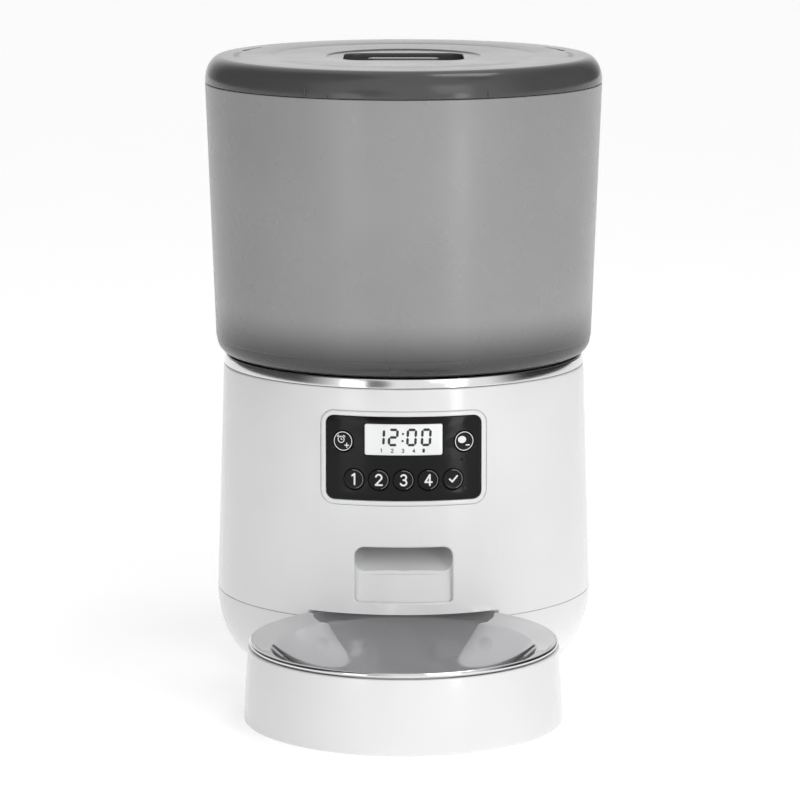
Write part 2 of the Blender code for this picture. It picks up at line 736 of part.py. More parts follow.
def make_rotor(grey, silicone, steel):
    """Portion wheel, the soft stirrer above it and the shaft that turns both."""
    wheel_low = CHAMBER_FLOOR + 0.7 * MM
    wheel_top = CHAMBER_TOP - 4.3 * MM
    tip = CHAMBER_RADIUS - ROTOR_CLEARANCE
    vanes = star(VANE_COUNT, HUB_RADIUS, tip, VANE_THICKNESS)
    wheel = prism("portion_wheel", vanes, wheel_low, wheel_top, grey)
    spigot_top = HOPPER_LOW + 9 * MM
    join(wheel, rod("wheel_spigot", (0, 0), SPIGOT_RADIUS, wheel_top - 3 * MM, spigot_top, None))
    shaft_top = wheel_top - 5 * MM
    cut(wheel, rod("wheel_bore", (0, 0), SHAFT_RADIUS + GAP, 0, shaft_top + GAP, None))
    arm_low = HOPPER_LOW + 1.6 * MM
    arms = star(3, HUB_RADIUS, THROAT_RADIUS - 8 * MM, 4 * MM)
    stirrer = prism("stirrer", arms, arm_low, arm_low + STIRRER_HEIGHT, silicone)
    cut(stirrer, rod("stirrer_bore", (0, 0), SPIGOT_RADIUS + GAP, 0, LID_TOP, None))
    rod("rotor_shaft", (0, 0), SHAFT_RADIUS, gear_low() - 0.7 * MM, shaft_top, steel)


def gear_low():
    """Underside of the gears, in the box under the chamber."""
    return CHAMBER_FLOOR - CHAMBER_WALL - GEAR_DROP


def gear_outline(teeth, backlash=0.12):
    """Straight-flanked teeth on a pitch circle; each tooth narrows towards its tip."""
    pitch = GEAR_MODULE * teeth / 2
    step = 360 / teeth
    root, tip = pitch - 1.25 * GEAR_MODULE, pitch + 0.85 * GEAR_MODULE
    half_root = step * (0.37 - backlash / 2)
    half_tip = step * (0.16 - backlash / 4)
    points = []
    for k in range(teeth):
        middle = k * step
        points.append(polar(root, middle - half_root))
        points.append(polar(tip, middle - half_tip))
        points.append(polar(tip, middle + half_tip))
        points.append(polar(root, middle + half_root))
    return points


def make_gears(plastic, steel):
    """A wheel on the rotor shaft, and the motor's pinion behind it with a gap facing a tooth."""
    low = gear_low()
    wheel = prism("output_gear", gear_outline(WHEEL_TEETH), low, low + GEAR_WIDTH, plastic)
    cut(wheel, rod("gear_bore", (0, 0), SHAFT_RADIUS + GAP, 0, LID_TOP, None))
    wheel.rotation_euler.z = math.radians(90)  # a tooth points at the pinion
    place = (0, BODY_Y + GEAR_CENTRES, 0)
    pinion = prism(
        "motor_pinion", gear_outline(PINION_TEETH), low, low + GEAR_WIDTH, steel, place=place
    )
    pinion.rotation_euler.z = math.radians(-90 + 180 / PINION_TEETH)


def gearbox_outline(margin):
    """Outline round both gears: two arcs and the straight lines that touch both."""
    big = GEAR_MODULE * (WHEEL_TEETH / 2 + 1) + margin
    small = GEAR_MODULE * (PINION_TEETH / 2 + 1) + margin + 3 * MM
    lean = math.degrees(math.acos((big - small) / GEAR_CENTRES))
    around_wheel = arc((0, 0), (big, big), 90 + lean, 450 - lean, 16)
    around_pinion = arc((0, GEAR_CENTRES), (small, small), 90 - lean, 90 + lean, 8)
    return around_wheel + around_pinion


def make_gearbox(grey, steel):
    low = gear_low()
    wall = GEARBOX_WALL
    floor = low - MM
    rim = low + GEAR_WIDTH + MM
    outside = gearbox_outline(GEARBOX_SPACE + wall)
    case = prism("gearbox_case", outside, floor - wall, rim, grey)
    cut(case, prism("gearbox_hollow", gearbox_outline(GEARBOX_SPACE), floor, rim + SPARE, None))
    cut(case, rod("pinion_hole", (0, GEAR_CENTRES), 3 * MM, 0, LID_TOP, None))
    lid = prism("gearbox_cover", outside, rim + GAP, rim + GAP + wall, grey)
    cut(lid, rod("cover_hole", (0, 0), SHAFT_RADIUS + MM, 0, LID_TOP, None))
    can_top = floor - wall - GAP
    place = (0, BODY_Y + GEAR_CENTRES, 0)
    spindle = 2 * MM
    profile = [
        (0, can_top - MOTOR_LENGTH),
        (MOTOR_RADIUS - MM, can_top - MOTOR_LENGTH),
        (MOTOR_RADIUS, can_top - MOTOR_LENGTH + MM),
        (MOTOR_RADIUS, can_top),
        (spindle, can_top),
        (spindle, can_top + wall),
        (0, can_top + wall),
    ]
    turned("gear_motor", profile, steel, place, 24)


def outlet_outline():
    """The food outlet as seen from the front: round upper corners and a level sill."""
    half = OUTLET_WIDTH / 2
    radius = OUTLET_ROUND
    right = arc((half - radius, OUTLET_HIGH - radius), (radius, radius), 0, 90, 4)
    left = arc((radius - half, OUTLET_HIGH - radius), (radius, radius), 90, 180, 4)
    return [(half, OUTLET_LOW), *right, *left, (-half, OUTLET_LOW)]


def make_chute(white):
    """A square duct from under the chamber's outlet down to the front, cut to the body's curve."""
    top = CHAMBER_FLOOR - CHAMBER_WALL - GAP
    low, high = outlet_in_floor(-0.5 * MM)
    front, back = low[1], high[1]
    bend = top - CHUTE_BEND
    ahead = -SEAM_RADIUS
    inner = [
        (front, top + SPARE),
        (front, bend),
        (ahead, OUTLET_HIGH - MM),
        (ahead - SPARE, OUTLET_HIGH - MM),
        (ahead - SPARE, OUTLET_LOW + SILL - 6 * MM),
        (ahead, OUTLET_LOW + SILL),
        (back, bend),
        (back, top + SPARE),
    ]
    wall = CHUTE_WALL
    outer = [
        (front - wall, top),
        (front - wall, bend + MM),
        (ahead, OUTLET_HIGH + wall),
        (ahead, OUTLET_LOW - wall + SILL),
        (back + wall, bend - MM),
        (back + wall, top),
    ]
    half = OUTLET_WIDTH / 2
    chute = prism("food_chute", outer, -half - wall, half + wall, white, "X")
    cut(chute, prism("chute_passage", inner, -half, half, None, "X"))
    inside = [
        (0, NOTCH_TOP + SHELL_WALL + GAP),
        (body_radius(NOTCH_TOP) - SHELL_WALL - GAP, NOTCH_TOP + SHELL_WALL + GAP),
        (body_radius(top) - SHELL_WALL - GAP, top + MM),
        (0, top + MM),
    ]
    combine(chute, turned("chute_trim", inside, None), "INTERSECT")


# ---------------------------------------------------------------- control panel


def panel_outline(margin):
    return rounded_rectangle(
        PANEL_WIDTH + 2 * margin,
        PANEL_HEIGHT + 2 * margin,
        PANEL_ROUND + margin,
        (0, PANEL_MIDDLE),
    )


def bezel_outline(margin):
    return panel_outline(BEZEL_WIDTH + GAP + margin)


def button_places():
    """Name, x and z of each button's middle."""
    row = [(f"button_{i + 1}", (i - 2) * BUTTON_PITCH) for i in range(4)]
    places = [(name, x, BUTTON_ROW) for name, x in row]
    places.append(("button_ok", 2 * BUTTON_PITCH, BUTTON_ROW))
    places.append(("button_alarm", -SIDE_BUTTON_X, SIDE_BUTTON_Z))
    places.append(("button_record", SIDE_BUTTON_X, SIDE_BUTTON_Z))
    return places


def button_turn(x, z):
    """How far a button's own -Y axis turns about Z to stand square on the curved panel."""
    return math.asin(x / body_radius(z))


def key_plane():
    """Front face of the key board, just behind the deepest corner of any cap pressed home."""
    depth = PANEL_THICKNESS + CAP_DEPTH + BUTTON_TRAVEL
    corners = []
    for _, x, z in button_places():
        turn = abs(button_turn(x, z))
        corners.append((depth - body_radius(z)) * math.cos(turn) + BUTTON_RADIUS * math.sin(turn))
    return max(corners) + KEY_CLEARANCE


def make_panel(white, black, display, green):
    frame = front_patch("panel_bezel", bezel_outline(0), -SKIN_DEPTH, BEZEL_PROUD, white)
    ledge = PANEL_THICKNESS + GAP
    cut(frame, front_cutter("bezel_opening", panel_outline(-BEZEL_LEDGE)))
    seat = front_patch("bezel_seat", panel_outline(GAP), -ledge, SPARE, None)
    cut(frame, seat)
    panel = front_patch("control_panel", panel_outline(0), -PANEL_THICKNESS, PANEL_PROUD, black)
    window = rounded_rectangle(DISPLAY_WIDTH, DISPLAY_HEIGHT, 0.8 * MM, (0, DISPLAY_MIDDLE), 1)
    cut(panel, front_cutter("display_window", window))
    for name, x, z in button_places():
        turn, radius = button_turn(x, z), BUTTON_RADIUS + GAP
        far = -SEAM_RADIUS - SPARE
        hole = rod(name + "_hole", (0, z), radius, far, -PANEL_REACH, None, "Y", turn=turn)
        cut(panel, hole)
    sound_hole = circle(0.8 * MM, (MICROPHONE_X, MICROPHONE_Z), 8)
    cut(panel, front_cutter("microphone_hole", sound_hole))
    glass = rounded_rectangle(
        DISPLAY_WIDTH - 2 * GAP, DISPLAY_HEIGHT - 2 * GAP, 0.6 * MM, (0, DISPLAY_MIDDLE), 1
    )
    front_patch("display", glass, -SKIN_DEPTH - 0.5 * MM, -0.4 * MM, display)
    back = -key_plane()
    half = PANEL_WIDTH / 2 - BEZEL_LEDGE - 2 * MM
    low = PANEL_MIDDLE - PANEL_HEIGHT / 2 + BEZEL_LEDGE + 0.8 * MM
    high = PANEL_MIDDLE + PANEL_HEIGHT / 2 - BEZEL_LEDGE - 0.8 * MM
    board = block("key_board", (-half, -back, low), (half, BOARD_THICKNESS - back, high), green)
    for name, x, z in button_places():
        near = x * back / body_radius(z)
        dome = block(
            name + "_switch",
            (near - SWITCH_SIZE / 2, -back - SWITCH_RISE, z - SWITCH_SIZE / 2),
            (near + SWITCH_SIZE / 2, BOARD_THICKNESS / 3 - back, z + SWITCH_SIZE / 2),
            None,
        )
        join(board, dome)


def make_buttons(black):
    """Each button has a round cap, two tabs that hold it behind the panel, and a stem."""
    for name, x, z in button_places():
        turn = button_turn(x, z)
        surface = body_radius(z)
        gap = SWITCH_RISE + BUTTON_TRAVEL + STEM_CLEARANCE
        corner = STEM_RADIUS * math.sin(abs(turn))  # a turned stem's rim goes this much deeper
        stem_end = (-key_plane() + gap + corner) / math.cos(turn)
        cap_back = PANEL_THICKNESS + CAP_DEPTH
        reach = BUTTON_RADIUS + TAB_REACH
        origin = (surface * math.sin(turn), BODY_Y - surface * math.cos(turn), z)
        outline = circle(BUTTON_RADIUS, (0, 0), 20)
        cap = prism(name, outline, -CAP_PROUD, cap_back, black, "Y", place=origin, turn=turn)
        tabs = block(
            name + "_tabs",
            (-TAB_WIDTH / 2, PANEL_THICKNESS + 0.9 * MM, -reach),
            (TAB_WIDTH / 2, cap_back - 0.2 * MM, reach),
            None,
            place=origin,
            turn=turn,
        )
        join(cap, tabs)
        stem = prism(
            name + "_stem",
            circle(STEM_RADIUS, (0, 0), 8),
            cap_back - MM,
            surface - stem_end,
            None,
            "Y",
            place=origin,
            turn=turn,
        )
        join(cap, stem)


def make_microphone(steel):
    surface = body_radius(MICROPHONE_Z)
    turn = math.asin(MICROPHONE_X / surface)
    origin = (MICROPHONE_X, BODY_Y - surface * math.cos(turn), MICROPHONE_Z)
    back = PANEL_THICKNESS + MM
    prism(
        "microphone", circle(1.7 * MM, (0, 0), 12), back, back + 2 * MM, steel, "Y", origin, turn
    )


# ---------------------------------------------------------------- power, sound and boards


def battery_half_size():
    """Half the width and length of the battery box's outside."""
    half_x = CELL_COUNT * (CELL_RADIUS + CELL_CLEARANCE / 2) + BATTERY_BOX_WALL
    half_y = CELL_LENGTH / 2 + 2.6 * MM + BATTERY_BOX_WALL
    return half_x, half_y


def make_power(white, metal, cell_look, black):
    half_x, half_y = battery_half_size()
    low_y, high_y = BATTERY_MIDDLE_Y - half_y, BATTERY_MIDDLE_Y + half_y
    door_low = PAN_LIFT
    door_top = door_low + DOOR_THICKNESS
    box_low = door_top + GAP
    cell_middle = box_low + CELL_RADIUS + 0.6 * MM
    box_top = cell_middle + CELL_RADIUS + 0.8 * MM + BATTERY_BOX_WALL
    box = block(
        "battery_box",
        (GAP - half_x, low_y + GAP, box_low),
        (half_x - GAP, high_y - GAP, box_top),
        white,
    )
    wall = BATTERY_BOX_WALL
    hollow = block(
        "battery_space",
        (wall - half_x, low_y + wall, -SPARE),
        (half_x - wall, high_y - wall, box_top - wall),
        None,
    )
    cut(box, hollow)
    hinge = (0, BODY_Y + high_y - GAP, door_low)
    block(
        "battery_door",
        (GAP - half_x, low_y - high_y + 2 * GAP, 0),
        (half_x - GAP, 0, DOOR_THICKNESS),
        white,
        place=hinge,
    )
    for i in range(CELL_COUNT):
        x = (i - (CELL_COUNT - 1) / 2) * (2 * CELL_RADIUS + CELL_CLEARANCE)
        half = CELL_LENGTH / 2
        cell = rod(
            f"cell_{i + 1}",
            (x, cell_middle),
            CELL_RADIUS,
            BATTERY_MIDDLE_Y - half,
            BATTERY_MIDDLE_Y + half - 1.5 * MM,
            cell_look,
            "Y",
            sides=24,
        )
        button = rod(
            f"cell_button_{i}",
            (x, cell_middle),
            4.5 * MM,
            BATTERY_MIDDLE_Y + half - 3 * MM,
            BATTERY_MIDDLE_Y + half,
            None,
            "Y",
            sides=12,
        )
        join(cell, button)
    reach = half_x - wall - MM
    tall = 0.6 * CELL_RADIUS
    rear = high_y - wall - GAP - CONTACT_THICKNESS
    for name, near in (("front", low_y + wall + GAP), ("rear", rear)):
        block(
            f"battery_contacts_{name}",
            (-reach, near, cell_middle - tall),
            (reach, near + CONTACT_THICKNESS, cell_middle + tall),
            metal,
        )
    make_jack(black)


def make_jack(black):
    """The round low-voltage socket in the back wall: an open barrel with a pin in it."""
    mouth = body_radius(JACK_HEIGHT) - 0.6 * MM
    back = mouth - JACK_LENGTH
    half = JACK_FLANGE / 2
    jack = rod("power_jack", (0, JACK_HEIGHT), JACK_RADIUS, back, mouth, black, "Y", sides=20)
    flange = block(
        "jack_flange",
        (-half, back - 2 * MM, JACK_HEIGHT - half),
        (half, mouth - SHELL_WALL - 0.8 * MM, JACK_HEIGHT + half),
        None,
    )
    join(jack, flange)
    place = (0, JACK_HEIGHT)
    cut(jack, rod("jack_bore", place, JACK_BORE, back + 2 * MM, mouth + SPARE, None, "Y"))
    join(jack, rod("jack_pin", place, MM, back + MM, mouth - 1.5 * MM, None, "Y", sides=8))


def make_speaker(black):
    """A small loudspeaker behind the slots in the shell, facing outwards."""
    face = body_radius(SPEAKER_HEIGHT) - SHELL_WALL - 3.6 * MM
    angle = math.radians(SPEAKER_ANGLE)
    prism(
        "speaker",
        circle(SPEAKER_RADIUS, (0, SPEAKER_HEIGHT), 20),
        face - SPEAKER_DEPTH,
        face,
        black,
        "X",
        turn=angle,
    )


def make_main_board(green):
    """The control board stands behind the gearbox."""
    near = GEAR_CENTRES + 26 * MM
    low = DECK_HEIGHT - 92 * MM
    far = near + BOARD_THICKNESS
    board = block("main_board", (-26 * MM, near, low), (26 * MM, far, low + 52 * MM), green)
    chip = block(
        "main_chip",
        (-6 * MM, near - 2 * MM, low + 24 * MM),
        (6 * MM, near + BOARD_THICKNESS / 2, low + 36 * MM),
        None,
    )
    join(board, chip)


# ---------------------------------------------------------------- stand and bowl


def pad_places():
    return [polar(STAND_FOOT_RADIUS - PAD_INSET, 90 + 120 * k) for k in range(3)]


def make_stand(white, rubber):
    """A round tray with a tapered wall; its floor is a ring."""
    low = STAND_LIFT
    foot, rim, wall = STAND_FOOT_RADIUS, STAND_RIM_RADIUS, STAND_WALL
    floor_top = low + wall
    stand = turned(
        "bowl_stand",
        [
            (STAND_OPENING, low),
            (foot - 1.2 * MM, low),
            (foot, low + 1.4 * MM),
            (rim, STAND_HEIGHT),
            (rim - wall, STAND_HEIGHT),
            (foot - wall, floor_top),
            (STAND_OPENING, floor_top),
        ],
        white,
        BOWL,
        BOWL_SIDES,
    )
    for i, (x, y) in enumerate(pad_places()):
        place = (x, BOWL_Y + y, 0)
        pocket = circle(PAD_RADIUS + GAP)
        cut(stand, prism(f"pad_pocket_{i}", pocket, -MM, low + MM, None, place=place))
        pad = circle(PAD_RADIUS)
        prism(f"stand_pad_{i + 1}", pad, 0, low + MM - GAP, rubber, place=place)


def make_bowl(steel):
    """Pressed sheet: a rolled edge, a narrow sloping flange and a round well, part of a sphere."""
    sheet = BOWL_SHEET
    seat = STAND_HEIGHT + GAP
    edge, roll = BOWL_EDGE, RIM_ROLL
    lip = edge - 2 * roll
    depth = seat - FLANGE_DROP - WELL_FLOOR
    sphere = (WELL_RADIUS**2 + depth**2) / (2 * depth)
    middle = (0, WELL_FLOOR + sphere)
    slope = math.degrees(math.asin(WELL_RADIUS / sphere))  # of the well's wall at its edge
    inside = arc(middle, (sphere, sphere), slope - 90, -90, 9)[:-1]
    outside = arc(middle, (sphere + sheet, sphere + sheet), -90, slope - 90, 9)[1:]
    upper = [
        *arc((edge - roll, seat + roll), (roll, roll), -90, 135, 5),
        (lip - 1.8 * MM, seat + 0.9 * MM),
        *inside,
        (0, WELL_FLOOR),
    ]
    lower = [
        (0, WELL_FLOOR - sheet),
        *outside,
        (lip - 1.2 * MM, seat - 0.4 * MM),
        (lip + 0.6 * MM, seat + 0.25 * MM),
    ]
    turned("steel_bowl", upper + lower, steel, BOWL, BOWL_SIDES)


def build():
    for old in list(bpy.data.objects):
        bpy.data.objects.remove(old, do_unlink=True)
    white = look("white plastic", (0.86, 0.86, 0.86), 0.3)
    grey = look("grey plastic", (0.5, 0.5, 0.5), 0.5)
    black = look("black plastic", (0.02, 0.02, 0.02), 0.15)
    smoke = look("smoked plastic", (0.25, 0.25, 0.25), 0.25, alpha=0.7)
    silicone = look("silicone", (0.7, 0.7, 0.7), 0.7)
    rubber = look("rubber", (0.05, 0.05, 0.05), 0.8)
    steel = look("polished steel", (0.75, 0.75, 0.76), 0.1, metallic=1.0)
    display = look("display", (0.8, 0.82, 0.82), 0.2)
    green = look("circuit board", (0.05, 0.25, 0.1), 0.5)
    cell_look = look("battery cell", (0.3, 0.3, 0.32), 0.4)
    paper = look("sachet paper", (0.85, 0.85, 0.82), 0.9)

    make_pan(white)
    make_shell(white)
    make_feet(rubber)
    make_screws(steel)
    make_ring(steel)
    make_hopper(smoke)
    make_lid(smoke)
    make_lid_fittings(silicone, white, paper)
    make_chamber(white)
    make_baffle(white)
    make_rotor(grey, silicone, steel)
    make_gears(grey, steel)
    make_gearbox(grey, steel)
    make_chute(white)
    make_panel(white, black, display, green)
    make_buttons(black)
    make_microphone(steel)
    make_power(white, steel, cell_look, black)
    make_speaker(black)
    make_main_board(green)
    make_stand(white, rubber)
    make_bowl(steel)


build()
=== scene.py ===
# %% [markdown]
# # Automatic pet feeder
# This file dresses a packed engineering model of a pet feeder. The model brings the exact sizes,
# the places and the moving bodies. Here every piece that shows is made again as a smooth surface
# with soft edges, gets a material worked out from noise and mathematics, and rides on the body it
# moves with.
#
# The order is: the frame, the tools that make surfaces, the finishes, then the pieces from the
# floor up, and at the end the small studio they stand in.

# %% Load the frame
import math

import bmesh
import bpy
import numpy as np
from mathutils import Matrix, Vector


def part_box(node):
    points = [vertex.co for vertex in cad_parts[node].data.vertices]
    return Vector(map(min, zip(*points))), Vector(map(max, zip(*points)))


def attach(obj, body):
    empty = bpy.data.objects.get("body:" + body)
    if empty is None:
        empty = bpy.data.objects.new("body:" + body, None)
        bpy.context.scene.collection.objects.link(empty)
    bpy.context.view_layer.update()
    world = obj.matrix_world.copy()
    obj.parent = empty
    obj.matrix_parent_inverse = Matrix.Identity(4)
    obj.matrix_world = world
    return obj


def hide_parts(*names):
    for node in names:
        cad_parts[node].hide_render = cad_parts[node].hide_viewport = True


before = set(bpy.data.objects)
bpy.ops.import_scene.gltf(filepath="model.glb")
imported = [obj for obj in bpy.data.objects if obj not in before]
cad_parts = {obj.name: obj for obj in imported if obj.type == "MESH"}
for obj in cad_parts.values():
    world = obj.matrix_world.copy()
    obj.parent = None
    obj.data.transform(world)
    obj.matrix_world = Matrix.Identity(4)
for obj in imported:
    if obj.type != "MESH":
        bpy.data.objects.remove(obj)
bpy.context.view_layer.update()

# %% [markdown]
# ## Sizes
# Most of the feeder is turned about one upright axis, and the bowl with its stand about another in
# front of it. Both axes and the main radii are read from the boxes of the model's nodes, so the
# surfaces land exactly on the solids they stand for.

# %% Axes and main sizes
MM = 0.001
SIDES = 240  # columns of a large turned piece, fine enough that its outline looks round
SMALL = 48  # columns of a small turned piece


def middle_xy(node):
    """The middle of a node's box, seen from above."""
    low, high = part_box(node)
    return (low.x + high.x) / 2, (low.y + high.y) / 2


def half_width(node):
    low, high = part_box(node)
    return (high.x - low.x) / 2


BODY_AXIS = middle_xy("hopper")
BOWL_AXIS = middle_xy("bowl_stand")
SEAM_RADIUS = half_width("base_pan")
DECK_RADIUS = half_width("trim_ring")
RIM_RADIUS = half_width("hopper")
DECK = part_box("base_shell")[1].z
SEAM_MIDDLE = (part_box("base_pan")[1].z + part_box("base_shell")[0].z) / 2
SEAM_GAP = 0.2 * MM  # pan and shell are pressed together, so only a hairline shows
SEAM_LOW, SEAM_HIGH = SEAM_MIDDLE - SEAM_GAP / 2, SEAM_MIDDLE + SEAM_GAP / 2
WALL = 2.5 * MM
print("body axis", BODY_AXIS, "bowl axis", BOWL_AXIS)
print("radii: seam %.4f deck %.4f rim %.4f" % (SEAM_RADIUS, DECK_RADIUS, RIM_RADIUS))


# %% How wide the white body is at a height
def body_radius(height):
    """A straight line from the seam's radius at the seam to the deck's radius at the deck."""
    share = (height - SEAM_MIDDLE) / (DECK - SEAM_MIDDLE)
    return SEAM_RADIUS + share * (DECK_RADIUS - SEAM_RADIUS)


print("body radius half way up:", body_radius((SEAM_MIDDLE + DECK) / 2))

# %% [markdown]
# ## Tools for outlines
# A moulded piece has no sharp edge: each corner is a small arc, and that arc is what catches the
# light. So outlines are first drawn with corners, and one helper then rounds each corner by its own
# radius. The arcs are plain arrays of points.


# %% Arcs and rounded corners
def arc(centre, radii, first, last, steps):
    """Points centre + (radii.x cos a, radii.y sin a) for steps + 1 even angles a, in degrees."""
    turns = np.radians(np.linspace(first, last, steps + 1))
    return np.column_stack(
        [centre[0] + radii[0] * np.cos(turns), centre[1] + radii[1] * np.sin(turns)]
    )


def soften(corners, radii, steps=4, closed=True):
    """Each corner becomes an arc tangent to both of its sides: it starts radius x tan(half the
    turn) before the corner, and its points lie at that radius from a centre on the bisector."""
    corners = np.asarray(corners, float)
    radii = np.broadcast_to(np.asarray(radii, float), len(corners))
    points = []
    for i, corner in enumerate(corners):
        at_end = not closed and i in (0, len(corners) - 1)
        before = corners[i - 1] - corner
        after = corners[(i + 1) % len(corners)] - corner
        reach_before, reach_after = np.linalg.norm(before), np.linalg.norm(after)
        if at_end or radii[i] <= 0 or min(reach_before, reach_after) == 0:
            points.append(corner[None])
            continue
        before, after = before / reach_before, after / reach_after
        opening = math.acos(np.clip(before @ after, -1, 1))
        if opening > math.pi - 0.02:
            points.append(corner[None])
            continue
        back = min(radii[i] / math.tan(opening / 2), 0.48 * reach_before, 0.48 * reach_after)
        radius = back * math.tan(opening / 2)
        bisector = (before + after) / np.linalg.norm(before + after)
        centre = corner + bisector * radius / math.sin(opening / 2)
        start, end = corner + before * back - centre, corner + after * back - centre
        share = np.linspace(0, 1, steps + 1)[:, None]
        sweep = math.pi - opening
        points.append(
            centre
            + (np.sin((1 - share) * sweep) * start + np.sin(share * sweep) * end) / math.sin(sweep)
        )
    return np.concatenate(points)


def rounded_rectangle(width, height, radius, middle=(0.0, 0.0), steps=8):
    """Four quarter circles, joined by the straight sides between them."""
    parts = [
        arc(
            (middle[0] + sx * (width / 2 - radius), middle[1] + sy * (height / 2 - radius)),
            (radius, radius),
            first,
            first + 90,
            steps,
        )
        for sx, sy, first in ((1, 1, 0), (-1, 1, 90), (-1, -1, 180), (1, -1, 270))
    ]
    return np.concatenate(parts)


def stadium(width, length, middle=(0.0, 0.0), steps=24):
    """Two half circles and the straight lines between them."""
    radius, ends = length / 2, width / 2 - length / 2
    right = arc((middle[0] + ends, middle[1]), (radius, radius), -90, 90, steps)
    left = arc((middle[0] - ends, middle[1]), (radius, radius), 90, 270, steps)
    return np.concatenate([right, left])


def circle(radius, middle=(0.0, 0.0), steps=SMALL):
    return arc(middle, (radius, radius), 0, 360, steps)[:-1]


print("a softened square has", len(soften([(0, 0), (1, 0), (1, 1), (0, 1)], 0.1)), "points")


# %% Evenly spaced outlines
def spaced(outline, count):
    """The closed outline again with evenly spaced points: each new point lies on the old line at
    an equal step of its length."""
    loop = np.vstack([outline, outline[:1]])
    steps = np.linalg.norm(np.diff(loop, axis=0), axis=1)
    along = np.concatenate([[0], np.cumsum(steps)])
    wanted = np.linspace(0, along[-1], count + 1)[:-1]
    return np.column_stack([np.interp(wanted, along, loop[:, k]) for k in (0, 1)])


def outward(outline):
    """Unit normals of a counter-clockwise outline: the direction between a point's neighbours,
    turned a quarter clockwise."""
    along = np.roll(outline, -1, axis=0) - np.roll(outline, 1, axis=0)
    along /= np.linalg.norm(along, axis=1)[:, None]
    return np.column_stack([along[:, 1], -along[:, 0]])


print("spaced square:", spaced(np.array([(0, 0), (1, 0), (1, 1), (0, 1)], float), 8).shape)

# %% [markdown]
# ## Tools for surfaces
# Every piece is a grid: rows of points along one parameter and columns along the other, worked out
# as one array. A grid that closes on itself both ways is a ring, and one whose first and last rows
# shrink to a point is a closed lump. One helper turns any grid into a mesh, welds the points that
# coincide, turns the faces outwards and marks the edges that should look crisp.


# %% Grid to mesh
def mesh_of(name, points, faces, crisp=35.0):
    """Welds doubles, turns faces outwards, shades smooth and keeps edges over `crisp` sharp."""
    mesh = bpy.data.meshes.new(name)
    mesh.from_pydata(points.reshape(-1, 3).tolist(), [], faces.tolist())
    shape = bmesh.new()
    shape.from_mesh(mesh)
    bmesh.ops.remove_doubles(shape, verts=shape.verts, dist=1e-6)
    bmesh.ops.dissolve_degenerate(shape, edges=shape.edges, dist=1e-7)
    bmesh.ops.recalc_face_normals(shape, faces=shape.faces)
    shape.to_mesh(mesh)
    shape.free()
    mesh.shade_smooth()
    mesh.set_sharp_from_angle(angle=math.radians(crisp))
    made = bpy.data.objects.new(name, mesh)
    bpy.context.scene.collection.objects.link(made)
    return made


def grid_faces(rows, columns, wrap_rows, wrap_columns):
    """Corner numbers of the quads of a grid; a wrapped direction joins its last line to its first."""
    r = np.arange(rows if wrap_rows else rows - 1)
    c = np.arange(columns if wrap_columns else columns - 1)
    r, c = (a.ravel() for a in np.meshgrid(r, c, indexing="ij"))
    r2, c2 = (r + 1) % rows, (c + 1) % columns
    return np.column_stack([r * columns + c, r * columns + c2, r2 * columns + c2, r2 * columns + c])


def surface(name, points, wrap_rows=True, wrap_columns=True, crisp=35.0):
    """A mesh from an array of rows x columns x 3."""
    rows, columns = points.shape[:2]
    return mesh_of(name, points, grid_faces(rows, columns, wrap_rows, wrap_columns), crisp)


print("faces of a 3 x 4 ring:", len(grid_faces(3, 4, True, True)))


# %% Turned pieces
def turned(name, profile, axis=BODY_AXIS, sides=SIDES, crisp=35.0):
    """A closed profile (r, z) carried round an upright axis: x = r cos a, y = r sin a, z = z."""
    a = np.linspace(0, 2 * math.pi, sides, endpoint=False)
    r, z = np.asarray(profile, float).T
    points = np.stack(
        [
            axis[0] + r[:, None] * np.cos(a),
            axis[1] + r[:, None] * np.sin(a),
            np.broadcast_to(z[:, None], (len(z), sides)),
        ],
        axis=-1,
    )
    return surface(name, points, crisp=crisp)


# %% Lofted pieces
def lofted(name, rings, crisp=35.0):
    """A closed lump from a stack of rings with equal point counts. The first and the last ring are
    closed by fans: each gets a copy of itself shrunk to its own middle."""
    rings = np.asarray(rings, float)
    first = np.broadcast_to(rings[0].mean(0), rings[0].shape)
    last = np.broadcast_to(rings[-1].mean(0), rings[-1].shape)
    return surface(name, np.stack([first, *rings, last]), wrap_rows=False, crisp=crisp)


def slab_rings(outline, low, high, edge, steps=4):
    """Rings of a flat plate with round edges: the outline moves inwards by edge (1 - cos a) while
    its height moves by edge sin a, at the bottom and again at the top. Columns are u, v, height."""
    n = outward(outline)
    turn = np.radians(np.linspace(0, 90, steps + 1))
    inset = edge * (1 - np.cos(turn))
    rise = edge * np.sin(turn)
    levels = [(i, low + edge - h) for i, h in zip(inset[::-1], rise[::-1])]
    levels += [(i, high - edge + h) for i, h in zip(inset, rise)]
    return np.stack([np.column_stack([outline - n * i, np.full(len(n), h)]) for i, h in levels])


def straight(rings, axis=BODY_AXIS):
    """Lays u, v, height rings flat: u is x and v is y from an axis, height is z."""
    rings = np.asarray(rings, float)
    return rings + np.array([axis[0], axis[1], 0.0])


def on_front(rings):
    """Wraps u, v, height rings on the white body's front: u is x, v is z, and height is measured
    outwards from the tapered skin, so y = axis - sqrt((body radius at v + height)^2 - u^2)."""
    u, v, height = np.moveaxis(np.asarray(rings, float), -1, 0)
    reach = body_radius(v) + height
    return np.stack([BODY_AXIS[0] + u, BODY_AXIS[1] - np.sqrt(reach**2 - u**2), v], axis=-1)


def on_plane(rings, origin, turn):
    """Lays u, v, height rings on an upright plane through origin that faces -Y, then turned by
    `turn` about Z: u runs to its right, v runs up and height comes towards the viewer."""
    u, v, height = np.moveaxis(np.asarray(rings, float), -1, 0)
    c, s = math.cos(turn), math.sin(turn)
    return np.stack(
        [origin[0] + u * c + height * s, origin[1] + u * s - height * c, origin[2] + v], axis=-1
    )


